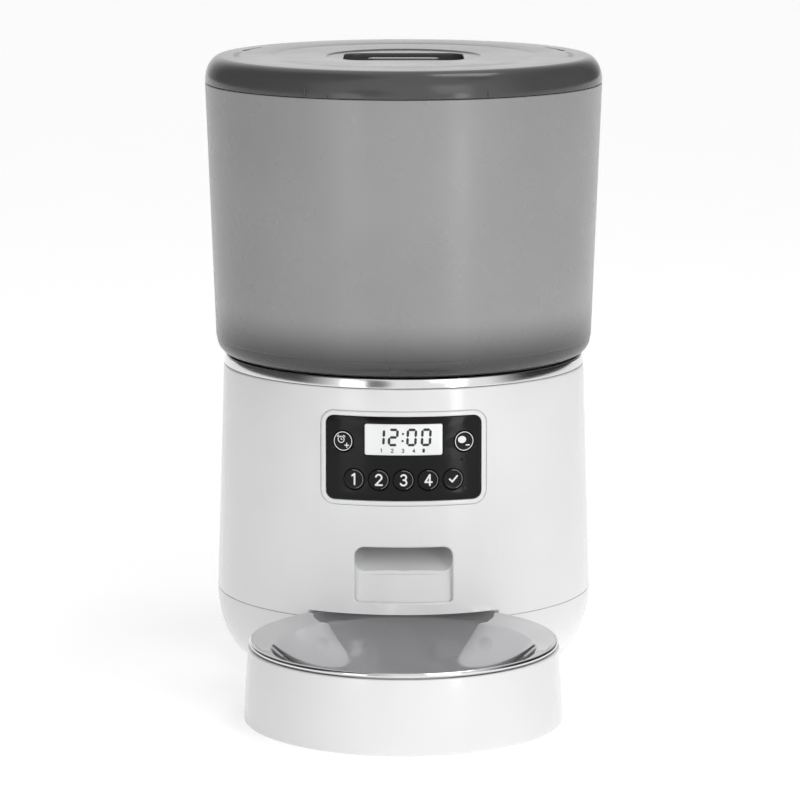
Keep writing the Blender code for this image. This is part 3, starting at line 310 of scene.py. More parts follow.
print("tools for turned, lofted and wrapped pieces are ready")


# %% Cutting and joining
def bake(piece, crisp=35.0):
    """Replaces a piece's mesh by what its modifiers make of it."""
    graph = bpy.context.evaluated_depsgraph_get()
    made = bpy.data.meshes.new_from_object(piece.evaluated_get(graph))
    piece.modifiers.clear()
    piece.data = made
    made.shade_smooth()
    made.set_sharp_from_angle(angle=math.radians(crisp))
    return piece


def combine(piece, tools, operation="DIFFERENCE", solver="EXACT", crisp=35.0):
    """Cuts each tool out of a piece, or joins it on, and removes the tools."""
    for tool in tools:
        step = piece.modifiers.new(tool.name, "BOOLEAN")
        step.operation, step.solver, step.object = operation, solver, tool
    bake(piece, crisp)
    for tool in tools:
        bpy.data.objects.remove(tool, do_unlink=True)
    return piece


def finish_piece(piece, material, slot, body, *nodes):
    """Dresses a piece, lets it ride on its body and lets it stand for its CAD nodes."""
    piece.data.materials.clear()
    piece.data.materials.append(material)
    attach(piece, body)
    if nodes:
        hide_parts(*nodes)
    print(f"{piece.name}: {len(piece.data.polygons)} faces on {body}")
    return piece


print("cutting and joining are ready")

# %% [markdown]
# ## Finishes
# Moulded plastic isn't one flat colour: its surface carries a fine grain from the mould, its gloss
# changes a little from place to place, and broad areas drift in tone. Each finish therefore mixes
# two near colours by a slow noise, moves roughness by a finer one and raises a bump from a grain.
# All of them read Object coordinates, in metres, so the grain keeps its real size everywhere.


# %% A noise-driven finish
def node_set(name):
    """A new material with an emptied Principled shader; returns material, nodes, links, shader."""
    material = bpy.data.materials.new(name)
    material.use_nodes = True
    tree = material.node_tree
    return material, tree.nodes, tree.links, tree.nodes["Principled BSDF"]


def noise(nodes, links, scale, detail=2.0, stretch=(1.0, 1.0, 1.0)):
    """Noise on Object coordinates; scale is in features per metre along each stretched axis."""
    place = nodes.new("ShaderNodeTexCoord")
    mapping = nodes.new("ShaderNodeMapping")
    mapping.inputs["Scale"].default_value = stretch
    texture = nodes.new("ShaderNodeTexNoise")
    texture.inputs["Scale"].default_value = scale
    texture.inputs["Detail"].default_value = detail
    links.new(place.outputs["Object"], mapping.inputs["Vector"])
    links.new(mapping.outputs["Vector"], texture.inputs["Vector"])
    return texture.outputs["Fac"]


def spread(nodes, links, source, low, high):
    """Stretches the middle of a noise, 0.35 to 0.65, over low to high."""
    change = nodes.new("ShaderNodeMapRange")
    change.inputs["From Min"].default_value = 0.35
    change.inputs["From Max"].default_value = 0.65
    change.inputs["To Min"].default_value = low
    change.inputs["To Max"].default_value = high
    links.new(source, change.inputs["Value"])
    return change.outputs["Result"]


def two_tone(nodes, links, source, dark, light):
    """A colour between dark and light by a factor."""
    mix = nodes.new("ShaderNodeMix")
    mix.data_type = "RGBA"
    mix.inputs["A"].default_value = (*dark, 1.0)
    mix.inputs["B"].default_value = (*light, 1.0)
    links.new(source, mix.inputs["Factor"])
    return mix.outputs["Result"]


def plastic(name, dark, light, roughness, grain, bump, metallic=0.0, coat=0.0, drift=18.0, **more):
    """Colour drifts between dark and light, roughness between its two values, and grain features
    per metre raise a bump of that height in metres. Extra shader sockets are given by name."""
    material, nodes, links, shader = node_set(name)
    tone = spread(nodes, links, noise(nodes, links, drift), 0.0, 1.0)
    links.new(two_tone(nodes, links, tone, dark, light), shader.inputs["Base Color"])
    rough = spread(nodes, links, noise(nodes, links, grain / 3), *roughness)
    links.new(rough, shader.inputs["Roughness"])
    raised = nodes.new("ShaderNodeBump")
    raised.inputs["Strength"].default_value = 1.0
    raised.inputs["Distance"].default_value = bump
    links.new(noise(nodes, links, grain, 1.0), raised.inputs["Height"])
    links.new(raised.outputs["Normal"], shader.inputs["Normal"])
    shader.inputs["Metallic"].default_value = metallic
    shader.inputs["Coat Weight"].default_value = coat
    for socket, value in more.items():
        shader.inputs[socket.replace("_", " ")].default_value = value
    return material


WHITE = plastic(
    "white_gloss", (0.78, 0.78, 0.785), (0.81, 0.81, 0.81), (0.16, 0.24), 900, 0.000004, coat=0.25
)
WHITE_SATIN = plastic(
    "white_satin", (0.78, 0.78, 0.785), (0.83, 0.83, 0.83), (0.38, 0.5), 2600, 0.00001
)
GREY = plastic("grey_moulded", (0.2, 0.2, 0.21), (0.25, 0.25, 0.255), (0.4, 0.55), 2600, 0.00001)
BLACK_GLOSS = plastic(
    "black_gloss",
    (0.005, 0.005, 0.0055),
    (0.009, 0.009, 0.0095),
    (0.10, 0.16),
    700,
    0.000002,
    Specular_IOR_Level=0.16,
)
BLACK_SATIN = plastic(
    "black_satin", (0.014, 0.014, 0.015), (0.022, 0.022, 0.023), (0.28, 0.4), 2600, 0.000008
)
RUBBER = plastic("foot_rubber", (0.02, 0.02, 0.02), (0.035, 0.035, 0.035), (0.7, 0.85), 3000, 0.00002)
SILICONE = plastic(
    "clear_silicone", (0.55, 0.56, 0.56), (0.62, 0.62, 0.62), (0.45, 0.6), 2500, 0.00001
)
PRINT_WHITE = plastic(
    "white_print", (0.80, 0.80, 0.80), (0.88, 0.88, 0.88), (0.4, 0.5), 4000, 0.000003
)
# Painted highlight: a grey for the arcs on the edges of the number and tick keys, where the light from the right
# catches the soft edge of each cap.
PAINTED_HIGHLIGHT_GREY = plastic(
    "painted_highlight_grey", (0.24, 0.24, 0.24), (0.32, 0.32, 0.32), (0.3, 0.45), 4000, 0.000003
)
SEGMENT = plastic(
    "display_segment", (0.012, 0.012, 0.014), (0.02, 0.02, 0.024), (0.3, 0.4), 4000, 0.000002
)
DISPLAY = plastic(
    "display_glass", (0.86, 0.87, 0.87), (0.92, 0.93, 0.93), (0.12, 0.18), 600, 0.000001, drift=60.0
)
BOARD = plastic("board_green", (0.01, 0.09, 0.03), (0.02, 0.14, 0.05), (0.3, 0.5), 1500, 0.00002)
PAPER = plastic("sachet_paper", (0.74, 0.74, 0.70), (0.83, 0.83, 0.79), (0.8, 0.95), 1800, 0.00008)
CELL = plastic("cell_jacket", (0.03, 0.03, 0.035), (0.05, 0.05, 0.06), (0.2, 0.35), 1200, 0.00001)
print("plain finishes:", len(bpy.data.materials))

# %% [markdown]
# ### Smoked plastic
# The hopper and the lid are moulded in a grey, see-through plastic with a satin skin that blurs
# what is behind. One could let all the light through, but a rough see-through wall takes very long
# to render cleanly; most of it is therefore a grey body, and a share of the light still passes. The
# closed floor holds light back, so the lowest part of the tank lies in shade, and that shade is painted
# into the colour: the tint falls with a smooth step over the height. A slow noise shifts the tint and
# the satin a little.


# %% Smoked finish
def smoked(name, dark, light, passing, roughness, painted_bottom_shade):
    """Tint drifts between dark and light. The last argument paints shade near the bottom: from height [1]
    down to height [0] the tint fades to a share [2] of itself. `passing` is the share of light that goes through."""
    material, nodes, links, shader = node_set(name)
    place = nodes.new("ShaderNodeTexCoord")
    apart = nodes.new("ShaderNodeSeparateXYZ")
    links.new(place.outputs["Object"], apart.inputs["Vector"])
    # Painted shade: the tint darkens towards the bottom of the tank, where the closed floor holds light back.
    fade = nodes.new("ShaderNodeMapRange")
    fade.interpolation_type = "SMOOTHSTEP"
    fade.inputs["From Min"].default_value = painted_bottom_shade[0]
    fade.inputs["From Max"].default_value = painted_bottom_shade[1]
    fade.inputs["To Min"].default_value = painted_bottom_shade[2]
    links.new(apart.outputs["Z"], fade.inputs["Value"])
    tone = spread(nodes, links, noise(nodes, links, 14), 0.0, 1.0)
    tint = nodes.new("ShaderNodeVectorMath")
    tint.operation = "SCALE"
    links.new(two_tone(nodes, links, tone, dark, light), tint.inputs[0])
    links.new(fade.outputs["Result"], tint.inputs["Scale"])
    links.new(tint.outputs["Vector"], shader.inputs["Base Color"])
    rough = spread(nodes, links, noise(nodes, links, 40), *roughness)
    links.new(rough, shader.inputs["Roughness"])
    shader.inputs["Transmission Weight"].default_value = passing
    shader.inputs["IOR"].default_value = 1.42
    return material


# %% Both smoked finishes
TANK_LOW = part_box("hopper")[0].z
SMOKE_AND_PAINTED_SHADE = smoked(
    "smoked_hopper_painted_shade",
    (0.33, 0.33, 0.333),
    (0.355, 0.355, 0.358),
    0.12,
    (0.26, 0.29),
    # painted shade near the bottom: the tint falls to a fifth from 30 mm above the tank's lowest point down to 4 mm
    (TANK_LOW + 4 * MM, TANK_LOW + 30 * MM, 0.2),
)
SMOKE_LID = smoked(
    "smoked_lid", (0.08, 0.08, 0.081), (0.10, 0.10, 0.101), 0.2, (0.14, 0.17), (0.0, 0.1, 1.0)
)
print("smoked finishes are ready")

# %% [markdown]
# ### Polished steel
# The bowl is drawn from sheet and polished on a lathe, which leaves grooves too fine to see one by
# one. They run round the axis, so the noise is read along radius and height only: it is the same
# all the way round, and the reflections break into faint rings.


# %% Steel finishes
def steel(name, colour, roughness, axis, ring_scale, bump):
    """Noise read at (distance from the axis, height), so it draws rings round the axis."""
    material, nodes, links, shader = node_set(name)
    place = nodes.new("ShaderNodeTexCoord")
    centre = nodes.new("ShaderNodeMapping")
    centre.inputs["Location"].default_value = (-axis[0], -axis[1], 0.0)
    flat = nodes.new("ShaderNodeVectorMath")
    flat.operation = "MULTIPLY"
    flat.inputs[1].default_value = (1.0, 1.0, 0.0)
    reach = nodes.new("ShaderNodeVectorMath")
    reach.operation = "LENGTH"
    apart = nodes.new("ShaderNodeSeparateXYZ")
    pair = nodes.new("ShaderNodeCombineXYZ")
    links.new(place.outputs["Object"], centre.inputs["Vector"])
    links.new(centre.outputs["Vector"], flat.inputs[0])
    links.new(flat.outputs["Vector"], reach.inputs[0])
    links.new(place.outputs["Object"], apart.inputs["Vector"])
    links.new(reach.outputs["Value"], pair.inputs["X"])
    links.new(apart.outputs["Z"], pair.inputs["Z"])
    rings = nodes.new("ShaderNodeTexNoise")
    rings.inputs["Scale"].default_value = ring_scale
    rings.inputs["Detail"].default_value = 3.0
    links.new(pair.outputs["Vector"], rings.inputs["Vector"])
    rough = spread(nodes, links, rings.outputs["Fac"], *roughness)
    links.new(rough, shader.inputs["Roughness"])
    tone = spread(nodes, links, noise(nodes, links, 25), 0.0, 1.0)
    dark = tuple(0.93 * c for c in colour)
    links.new(two_tone(nodes, links, tone, dark, colour), shader.inputs["Base Color"])
    raised = nodes.new("ShaderNodeBump")
    raised.inputs["Strength"].default_value = 1.0
    raised.inputs["Distance"].default_value = bump
    links.new(rings.outputs["Fac"], raised.inputs["Height"])
    links.new(raised.outputs["Normal"], shader.inputs["Normal"])
    shader.inputs["Metallic"].default_value = 1.0
    return material


BOWL_STEEL = steel("polished_steel", (0.76, 0.76, 0.77), (0.04, 0.07), BOWL_AXIS, 900, 0.000001)
RING_STEEL = steel("polished_ring", (0.80, 0.80, 0.81), (0.10, 0.16), BODY_AXIS, 1500, 0.000002)
PLAIN_STEEL = plastic(
    "plain_steel", (0.42, 0.42, 0.43), (0.5, 0.5, 0.51), (0.25, 0.4), 1500, 0.000005, metallic=1.0
)
print("all finishes:", len(bpy.data.materials))

# %% [markdown]
# ## The white base
# The base is two mouldings that meet in a seam low on the body: a pan with a generously rounded
# edge, and a slightly tapered shell on top of it. Both are hollow, and both are cut away by the
# round space that the bowl's stand slides into. A turned profile gives the walls; boolean cutters,
# also turned or lofted, take out the openings, because an opening cut from a finished wall keeps
# its true thickness.

# %% The space for the stand
STAND_CLEARANCE = 1.5 * MM  # round the stand, in the pan
BOWL_CLEARANCE = 1.0 * MM  # round and over the bowl's edge, in the shell
PAN_NOTCH = half_width("bowl_stand") + STAND_CLEARANCE
SHELL_NOTCH = half_width("steel_bowl") + BOWL_CLEARANCE
NOTCH_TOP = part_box("steel_bowl")[1].z + BOWL_CLEARANCE
BELOW = -5 * MM


def bowl_space(name, radius, low, high):
    """A solid cylinder about the bowl's axis."""
    return turned(name, [(0, low), (radius, low), (radius, high), (0, high)], BOWL_AXIS)


print("stand space radius %.4f, roof at %.4f" % (PAN_NOTCH, NOTCH_TOP))

# %% The pan
PAN_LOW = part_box("base_pan")[0].z
PAN_ROUND = 20.0 * MM
FOOT_ANGLES = (-42.0, 62.0, 118.0, 222.0)


def pan_edge(inset, last, steps):
    """A quarter of an ellipse from the flat underside (-90 degrees) up to the seam (0)."""
    return arc(
        (SEAM_RADIUS - PAN_ROUND, SEAM_LOW),
        (PAN_ROUND - inset, SEAM_LOW - PAN_LOW - inset),
        -90,
        last,
        steps,
    )


def cylinder(name, middle, radius, low, high, axis=BODY_AXIS, steps=SMALL):
    return lofted(name, straight(slab_rings(circle(radius, middle, steps), low, high, 0.0, 1), axis))


def middle_of(node):
    """A node's middle, measured from the body's axis."""
    x, y = middle_xy(node)
    return x - BODY_AXIS[0], y - BODY_AXIS[1]


seam_bevel = 0.25 * MM
outer = pan_edge(0, -1, 26)
rim = soften([outer[-1], (SEAM_RADIUS, SEAM_LOW), (SEAM_RADIUS - 5 * MM, SEAM_LOW)], seam_bevel, 4, False)
pan = turned("base_pan_skin", np.vstack([[(0, PAN_LOW)], outer, rim[1:], [(0, SEAM_LOW)]]))
inner = pan_edge(WALL, -4, 20)
hollow_top = [(SEAM_RADIUS - WALL, SEAM_LOW + 5 * MM), (0, SEAM_LOW + 5 * MM)]
hollow = turned("pan_hollow", np.vstack([[(0, PAN_LOW + WALL)], inner, hollow_top]))
combine(hollow, [bowl_space("pan_hollow_limit", PAN_NOTCH + WALL, BELOW, SEAM_LOW + 9 * MM)])
combine(pan, [hollow], solver="MANIFOLD")
combine(pan, [bowl_space("pan_space", PAN_NOTCH, BELOW, SEAM_LOW + 5 * MM)], solver="MANIFOLD")

# %% Holes in the pan's underside
door_low, door_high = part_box("battery_door")
door_size = (door_high.x - door_low.x, door_high.y - door_low.y)
door_hole = rounded_rectangle(
    door_size[0] + 0.6 * MM, door_size[1] + 0.6 * MM, 0.6 * MM, middle_of("battery_door")
)
holes = [lofted("door_hole", straight(slab_rings(door_hole, BELOW, 9 * MM, 0.0, 1)))]
for number in range(1, 5):
    middle = middle_of(f"foot_{number}")
    radius = half_width(f"foot_{number}") + 0.3 * MM
    holes.append(cylinder(f"foot_pocket_{number}", middle, radius, BELOW, 2.6 * MM))
    middle = middle_of(f"case_screw_{number}")
    radius = half_width(f"case_screw_{number}") + 0.3 * MM
    holes.append(cylinder(f"screw_recess_{number}", middle, radius, BELOW, PAN_LOW + 1.4 * MM))
    holes.append(cylinder(f"screw_hole_{number}", middle, 1.8 * MM, BELOW, 12 * MM))
combine(pan, holes)
finish_piece(pan, WHITE, "white_plastic", "base", "base_pan")

# %% The shell's turned wall
shell_profile = soften(
    [
        (SEAM_RADIUS - WALL, SEAM_HIGH),
        (SEAM_RADIUS, SEAM_HIGH),
        (DECK_RADIUS, DECK),
        (50 * MM, DECK),
        (50 * MM, DECK - WALL),
        (DECK_RADIUS - WALL, DECK - WALL),
    ],
    [0.2 * MM, seam_bevel, 0.8 * MM, 0.4 * MM, 0.4 * MM, 2 * MM],
)
shell = turned("base_shell_skin", shell_profile)
roof = bowl_space("space_roof", SHELL_NOTCH + WALL, SEAM_HIGH + 0.2 * MM, NOTCH_TOP + WALL)
limit_radius = SEAM_RADIUS - WALL / 2
limit = turned(
    "roof_limit",
    [(0, 0), (limit_radius, 0), (limit_radius, NOTCH_TOP + 9 * MM), (0, NOTCH_TOP + 9 * MM)],
)
combine(roof, [limit], "INTERSECT")
combine(shell, [roof], "UNION")
combine(shell, [bowl_space("shell_space", SHELL_NOTCH, BELOW, NOTCH_TOP)])
print("shell wall:", len(shell.data.polygons), "faces")

# %% [markdown]
# ### Openings with a rolled lip
# The mouth where the food comes out has a soft, rounded edge. The cutter carries that edge: near
# the body's surface its outline flares outwards along a quarter circle, so the cut leaves a lip of
# the same shape. The flare stops a few degrees short of flat, where it would only graze the wall.

# %% A cutter that leaves a round lip
def flared(outline, depth, lip, steps=7):
    """u, v, height rings of a cutter: the plain outline below the lip, then the outline grown by
    lip (1 - cos a) at height -lip (1 - sin a) for a from 0 to 70 degrees, then well outside, so
    that the end is clear of a curved body too."""
    n = outward(outline)
    turn = np.radians(np.linspace(0, 70, steps))
    grown = lip * (1 - np.cos(turn))
    height = -lip * (1 - np.sin(turn))
    steep = grown[-1] + 2 * MM / math.tan(math.radians(35))
    levels = [(0.0, -depth), *zip(grown, height), (steep, 2 * MM), (steep, 12 * MM)]
    return np.stack([np.column_stack([outline + n * g, np.full(len(n), h)]) for g, h in levels])


chute_low, chute_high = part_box("food_chute")
OUTLET_WIDTH = 48.0 * MM
OUTLET_LOW, OUTLET_HIGH = 46.3 * MM, 73.8 * MM
outlet_corners = [
    (OUTLET_WIDTH / 2, OUTLET_LOW),
    (OUTLET_WIDTH / 2, OUTLET_HIGH),
    (-OUTLET_WIDTH / 2, OUTLET_HIGH),
    (-OUTLET_WIDTH / 2, OUTLET_LOW),
]
outlet = spaced(soften(outlet_corners, [1.8 * MM, 4.6 * MM, 4.6 * MM, 1.8 * MM], 8), 160)
panel_low, panel_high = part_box("control_panel")
PANEL_WIDTH, PANEL_HEIGHT = panel_high.x - panel_low.x, panel_high.z - panel_low.z
PANEL_MIDDLE = (panel_low.z + panel_high.z) / 2
PANEL_ROUND = 3.8 * MM
BEZEL = 2.7 * MM  # from the panel's edge to the frame's outer edge


def panel_outline(margin, count=200):
    """The panel's rounded outline, moved outwards by margin."""
    return spaced(
        rounded_rectangle(
            PANEL_WIDTH + 2 * margin, PANEL_HEIGHT + 2 * margin, PANEL_ROUND + margin, (0, PANEL_MIDDLE)
        ),
        count,
    )


def radial_hole(name, angle, height, outline, reach=20 * MM):
    """A cutter through the wall at an angle about the body's axis: the outline is carried along
    the radius that passes through its middle."""
    turn = math.radians(angle) + math.pi / 2
    r = body_radius(height)
    origin = (BODY_AXIS[0] + r * math.sin(turn), BODY_AXIS[1] - r * math.cos(turn), height)
    return lofted(name, on_plane(slab_rings(outline, -reach, reach, 0.0, 1), origin, turn))


SOUND_ANGLE, SOUND_HEIGHT = 116.0, 95.0 * MM
jack_middle = (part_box("power_jack")[0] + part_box("power_jack")[1]) / 2
panel_hole = panel_outline(BEZEL + 0.15 * MM)
cutters = [
    lofted("outlet_cutter", on_front(flared(outlet, 30 * MM, 1.1 * MM))),
    lofted("panel_cutter", on_front(slab_rings(panel_hole, -30 * MM, 14 * MM, 0.0, 1))),
    radial_hole("jack_cutter", 90, jack_middle.z, circle(4.5 * MM)),
]
for number in range(5):
    slot = stadium(16 * MM, 1.8 * MM, steps=8)[:, ::-1] * (-1, 1)
    shift = (number - 2) * 4 * MM
    cutters.append(radial_hole(f"sound_cutter_{number}", SOUND_ANGLE, SOUND_HEIGHT, slot + (shift, 0)))
combine(shell, cutters)
print("shell with its openings:", len(shell.data.polygons), "faces")

# %% The shell's screw posts
post_top = DECK - WALL + 0.8 * MM
posts, pilots = [], []
for number in range(1, 5):
    middle = middle_of(f"case_screw_{number}")
    posts.append(cylinder(f"post_{number}", middle, 4.2 * MM, SEAM_HIGH, post_top))
    pilots.append(cylinder(f"pilot_{number}", middle, 1.8 * MM, 0, SEAM_HIGH + 14 * MM))
combine(shell, posts, "UNION")
combine(shell, pilots)
finish_piece(shell, WHITE, "white_plastic", "base", "base_shell")

# %% [markdown]
# ### The food chute
# Behind the opening a duct slopes up to the portion wheel. Its floor comes forward flush with the
# sill and its ceiling hangs low, so from the front the upper third is in shade. Its section is a
# rounded rectangle whose floor and ceiling heights change along the depth, carried from the skin of
# the body back to the drop hole.

# %% The chute
CHUTE_WALL = 1.5 * MM
skin_inside = WALL + 0.3 * MM  # the duct starts just behind the shell's wall


def chute_section(width, low, high, radius, corner=8, side=14):
    """A rounded rectangle whose four corners and four sides always have the same number of
    points, so that sections of any proportion meet point for point."""
    corners = rounded_rectangle(width, high - low, radius, (0, (low + high) / 2), corner)
    arcs = corners.reshape(4, corner + 1, 2)
    share = np.linspace(0, 1, side + 2)[1:-1, None]
    sides = [a[-1] * (1 - share) + b[0] * share for a, b in zip(arcs, np.roll(arcs, -1, axis=0))]
    return np.concatenate([part for pair in zip(arcs, sides) for part in pair])


def chute_ring(back, width, low, high, radius, follow):
    """One ring of the duct: x and z from the section, and y from a blend of the body's inner
    skin (follow 1) and an upright plane at distance `back` before the axis (follow 0)."""
    x, z = chute_section(width, low, high, radius).T
    skin = np.sqrt((body_radius(z) - skin_inside) ** 2 - x**2)
    y = BODY_AXIS[1] - (follow * skin + (1 - follow) * back)
    return np.column_stack([x + BODY_AXIS[0], y, z])


# depth before the axis, width, floor, ceiling, corner radius, how much it follows the skin
chute_stations = [
    (92 * MM, 48.0 * MM, 47.2 * MM, 73.4 * MM, 4.0 * MM, 1.0),
    (84 * MM, 48.0 * MM, 61.0 * MM, 77.0 * MM, 5.0 * MM, 0.8),
    (74 * MM, 48.0 * MM, 66.0 * MM, 81.4 * MM, 6.0 * MM, 0.3),
    (64 * MM, 48.0 * MM, 70.5 * MM, 86.0 * MM, 6.0 * MM, 0.0),
    (52 * MM, 48.0 * MM, 76.6 * MM, 92.0 * MM, 6.0 * MM, 0.0),
    (22 * MM, 48.0 * MM, 94.0 * MM, 108.0 * MM, 6.0 * MM, 0.0),
]
ahead = (104 * MM, 48.0 * MM, 39.6 * MM, 73.4 * MM, 4.0 * MM, 0.0)
passage = lofted("chute_passage", [chute_ring(*s) for s in (ahead, *chute_stations)], crisp=50)
chute = lofted(
    "food_chute_duct",
    [
        chute_ring(b, w + 2 * CHUTE_WALL, lo - CHUTE_WALL, hi + CHUTE_WALL, r + CHUTE_WALL, f)
        for b, w, lo, hi, r, f in chute_stations
    ],
    crisp=50,
)
drop_front, drop_back = -44 * MM, -22 * MM
drop_middle = (0.0, (drop_front + drop_back) / 2)
drop_length = drop_back - drop_front


def upright_duct(name, wider, low, high):
    """A rounded box about the drop hole, wider on every side."""
    outline = rounded_rectangle(
        48 * MM + 2 * wider, drop_length + 2 * wider, 3 * MM + wider, drop_middle
    )
    return lofted(name, straight(slab_rings(outline, low, high, 0.0, 1)))


combine(chute, [upright_duct("chute_shaft", CHUTE_WALL, 78 * MM, chute_high.z)], "UNION")
combine(chute, [passage, upright_duct("chute_shaft_hollow", 0.0, 80 * MM, chute_high.z + MM)])
finish_piece(chute, WHITE, "white_plastic", "base", "food_chute")

# %% [markdown]
# ### The polished ring
# A narrow metal ring covers the joint between base and hopper. It is a turned band whose upper
# edge leans in, with soft corners, so that it mirrors the room and not only the floor.

# %% The ring
ring_low, ring_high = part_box("trim_ring")[0].z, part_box("trim_ring")[1].z
ring_corners = [
    (DECK_RADIUS - 7.4 * MM, ring_low),
    (DECK_RADIUS, ring_low),
    (DECK_RADIUS - 0.75 * MM, ring_high),
    (DECK_RADIUS - 7.4 * MM, ring_high),
]
ring = turned("trim_ring_band", soften(ring_corners, [0.3 * MM, 0.5 * MM, 0.9 * MM, 0.3 * MM], 6))
finish_piece(ring, RING_STEEL, "polished_steel", "base", "trim_ring")

# %% [markdown]
# ## The hopper
# A tapered tank with a funnel floor. Its outer wall ends in a fine step before it rounds in to the
# skirt, and a collar inside the rim carries the lid's seal. All of it is one turned profile; the
# four bayonet lugs are joined on.

# %% The hopper's profile
hopper_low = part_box("hopper")[0].z
hopper_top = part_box("lid")[0].z - 0.3 * MM
collar_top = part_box("hopper")[1].z
LOW_RADIUS = 95.0 * MM
FILLET = 8.0 * MM
throat = 46.3 * MM
funnel_top = hopper_low + 18.6 * MM
collar_outer = RIM_RADIUS - WALL - 1.1 * MM
collar_inner = collar_outer - 2 * MM
skirt = LOW_RADIUS - WALL
slope = 16 * MM / (skirt - throat)
step = 0.35 * MM
fillet_middle = (LOW_RADIUS - FILLET, hopper_low + FILLET)
hopper_profile = np.vstack(
    [
        soften(
            [
                (throat, hopper_low + 2.6 * MM),
                (throat, hopper_low),
                (throat + 2.7 * MM, hopper_low),
                (throat + 3.0 * MM, hopper_low + 1.1 * MM),
                (skirt - 1.6 * MM, funnel_top - WALL - 1.6 * MM * slope),
                (skirt, hopper_low + FILLET),
            ],
            [0, 0.3 * MM, 0.3 * MM, MM, 0.6 * MM, 0],
            4,
            False,
        ),
        arc(fillet_middle, (FILLET - WALL, FILLET - WALL), -5, -90, 12),
        soften(
            [
                (LOW_RADIUS - FILLET - 2.5 * MM, hopper_low + WALL),
                (LOW_RADIUS - FILLET - 2.5 * MM, hopper_low),
                (LOW_RADIUS - FILLET, hopper_low),
            ],
            [0.4 * MM, 0.4 * MM, 0],
            4,
            False,
        ),
        arc(fillet_middle, (FILLET - step, FILLET), -86, 0, 22),
        soften(
            [
                (LOW_RADIUS - step, hopper_low + FILLET + 0.4 * MM),
                (LOW_RADIUS + 0.02 * MM, hopper_low + FILLET + 0.8 * MM),
                (RIM_RADIUS, hopper_top),
                (collar_outer, hopper_top),
                (collar_outer, collar_top),
                (collar_inner, collar_top),
                (collar_inner, hopper_top - 3 * MM),
                (RIM_RADIUS - WALL - 0.2 * MM, hopper_top - 5.6 * MM),
                (skirt + 0.3 * MM, funnel_top),
            ],
            [0.1 * MM, 0.2 * MM, 0.45 * MM, 0.4 * MM, 0.5 * MM, 0.5 * MM, MM, MM, 0],
            5,
            False,
        ),
        arc((skirt - 4.2 * MM, funnel_top + 2.6 * MM), (4.2 * MM, 4.2 * MM), -10, -68, 8),
    ]
)
hopper = turned("hopper_tank", hopper_profile)
print("hopper profile:", len(hopper_profile), "points")

# %% The bayonet lugs of the collar
LUG_ANGLES = (45.0, 135.0, 225.0, 315.0)


def ring_slice(inner, outer, first, last, steps=12):
    """A slice of a flat ring, as an outline about the body's axis."""
    out = arc((0, 0), (outer, outer), first, last, steps)
    back = arc((0, 0), (inner, inner), last, first, steps)
    return np.vstack([out, back])


def ring_block(name, inner, outer, first, last, low, high, edge=0.2 * MM):
    return lofted(name, straight(slab_rings(ring_slice(inner, outer, first, last), low, high, edge, 2)))


lugs = [
    ring_block(
        f"collar_lug_{i}",
        collar_outer - 0.8 * MM,
        collar_outer + 0.6 * MM,
        angle - 9,
        angle + 9,
        hopper_top + 3.6 * MM,
        hopper_top + 5.3 * MM,
        0.1 * MM,
    )
    for i, angle in enumerate(LUG_ANGLES)
]
combine(hopper, lugs, "UNION")
finish_piece(hopper, SMOKE_AND_PAINTED_SHADE, "smoked_plastic", "hopper", "hopper")

# %% [markdown]
# ## The lid
# The lid has a rounded shoulder and a shallow dish that steps down to a flat middle, where a
# finger recess with a grip bar is sunk. The shell is one turned profile; the recess is a tub joined
# on and hollowed with the same round-lipped cutter as the outlet.

# %% The lid's profile
lid_low, lid_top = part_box("lid")[0].z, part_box("lid")[1].z
seal_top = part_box("lid_seal")[1].z
LID_ROUND = 8.3 * MM
shoulder_height = lid_top - lid_low - 1.1 * MM
dish = lid_top - 1.1 * MM
lid_inner = RIM_RADIUS - WALL
seal_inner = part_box("lid_seal")[1].x - 2.4 * MM
shoulder = arc(
    (RIM_RADIUS - LID_ROUND, lid_top - shoulder_height), (LID_ROUND, shoulder_height), 0, 90, 24
)
lid_profile = np.vstack(
    [
        soften(
            [(lid_inner, lid_low + 2 * MM), (lid_inner, lid_low), (RIM_RADIUS, lid_low), shoulder[0]],
            [0, 0.3 * MM, 0.45 * MM, 0],
            4,
            False,
        ),
        shoulder[1:],
        soften(
            [
                (68 * MM, lid_top),
                (66 * MM, lid_top - 0.30 * MM),
                (39.2 * MM, lid_top - 0.5 * MM),
                (38.2 * MM, dish),
                (30 * MM, dish),
            ],
            [1.0 * MM, 0.8 * MM, 0.35 * MM, 0.25 * MM, 0],
            5,
            False,
        ),
        [(0, dish), (0, dish - WALL), (38 * MM, dish - WALL)],
        soften(
            [
                (60 * MM, lid_top - WALL),
                (seal_inner - 0.6 * MM, lid_top - WALL),
                (seal_inner - 0.6 * MM, seal_top + 0.3 * MM),
                (lid_inner - 0.8 * MM, seal_top + 0.3 * MM),
                (lid_inner, seal_top - 2.8 * MM),
                (lid_inner, lid_low + 3 * MM),
            ],
            [0, MM, 0.3 * MM, 0.4 * MM, 0.6 * MM, 0],
            4,
            False,
        ),
    ]
)
lid = turned("lid_cover", lid_profile)

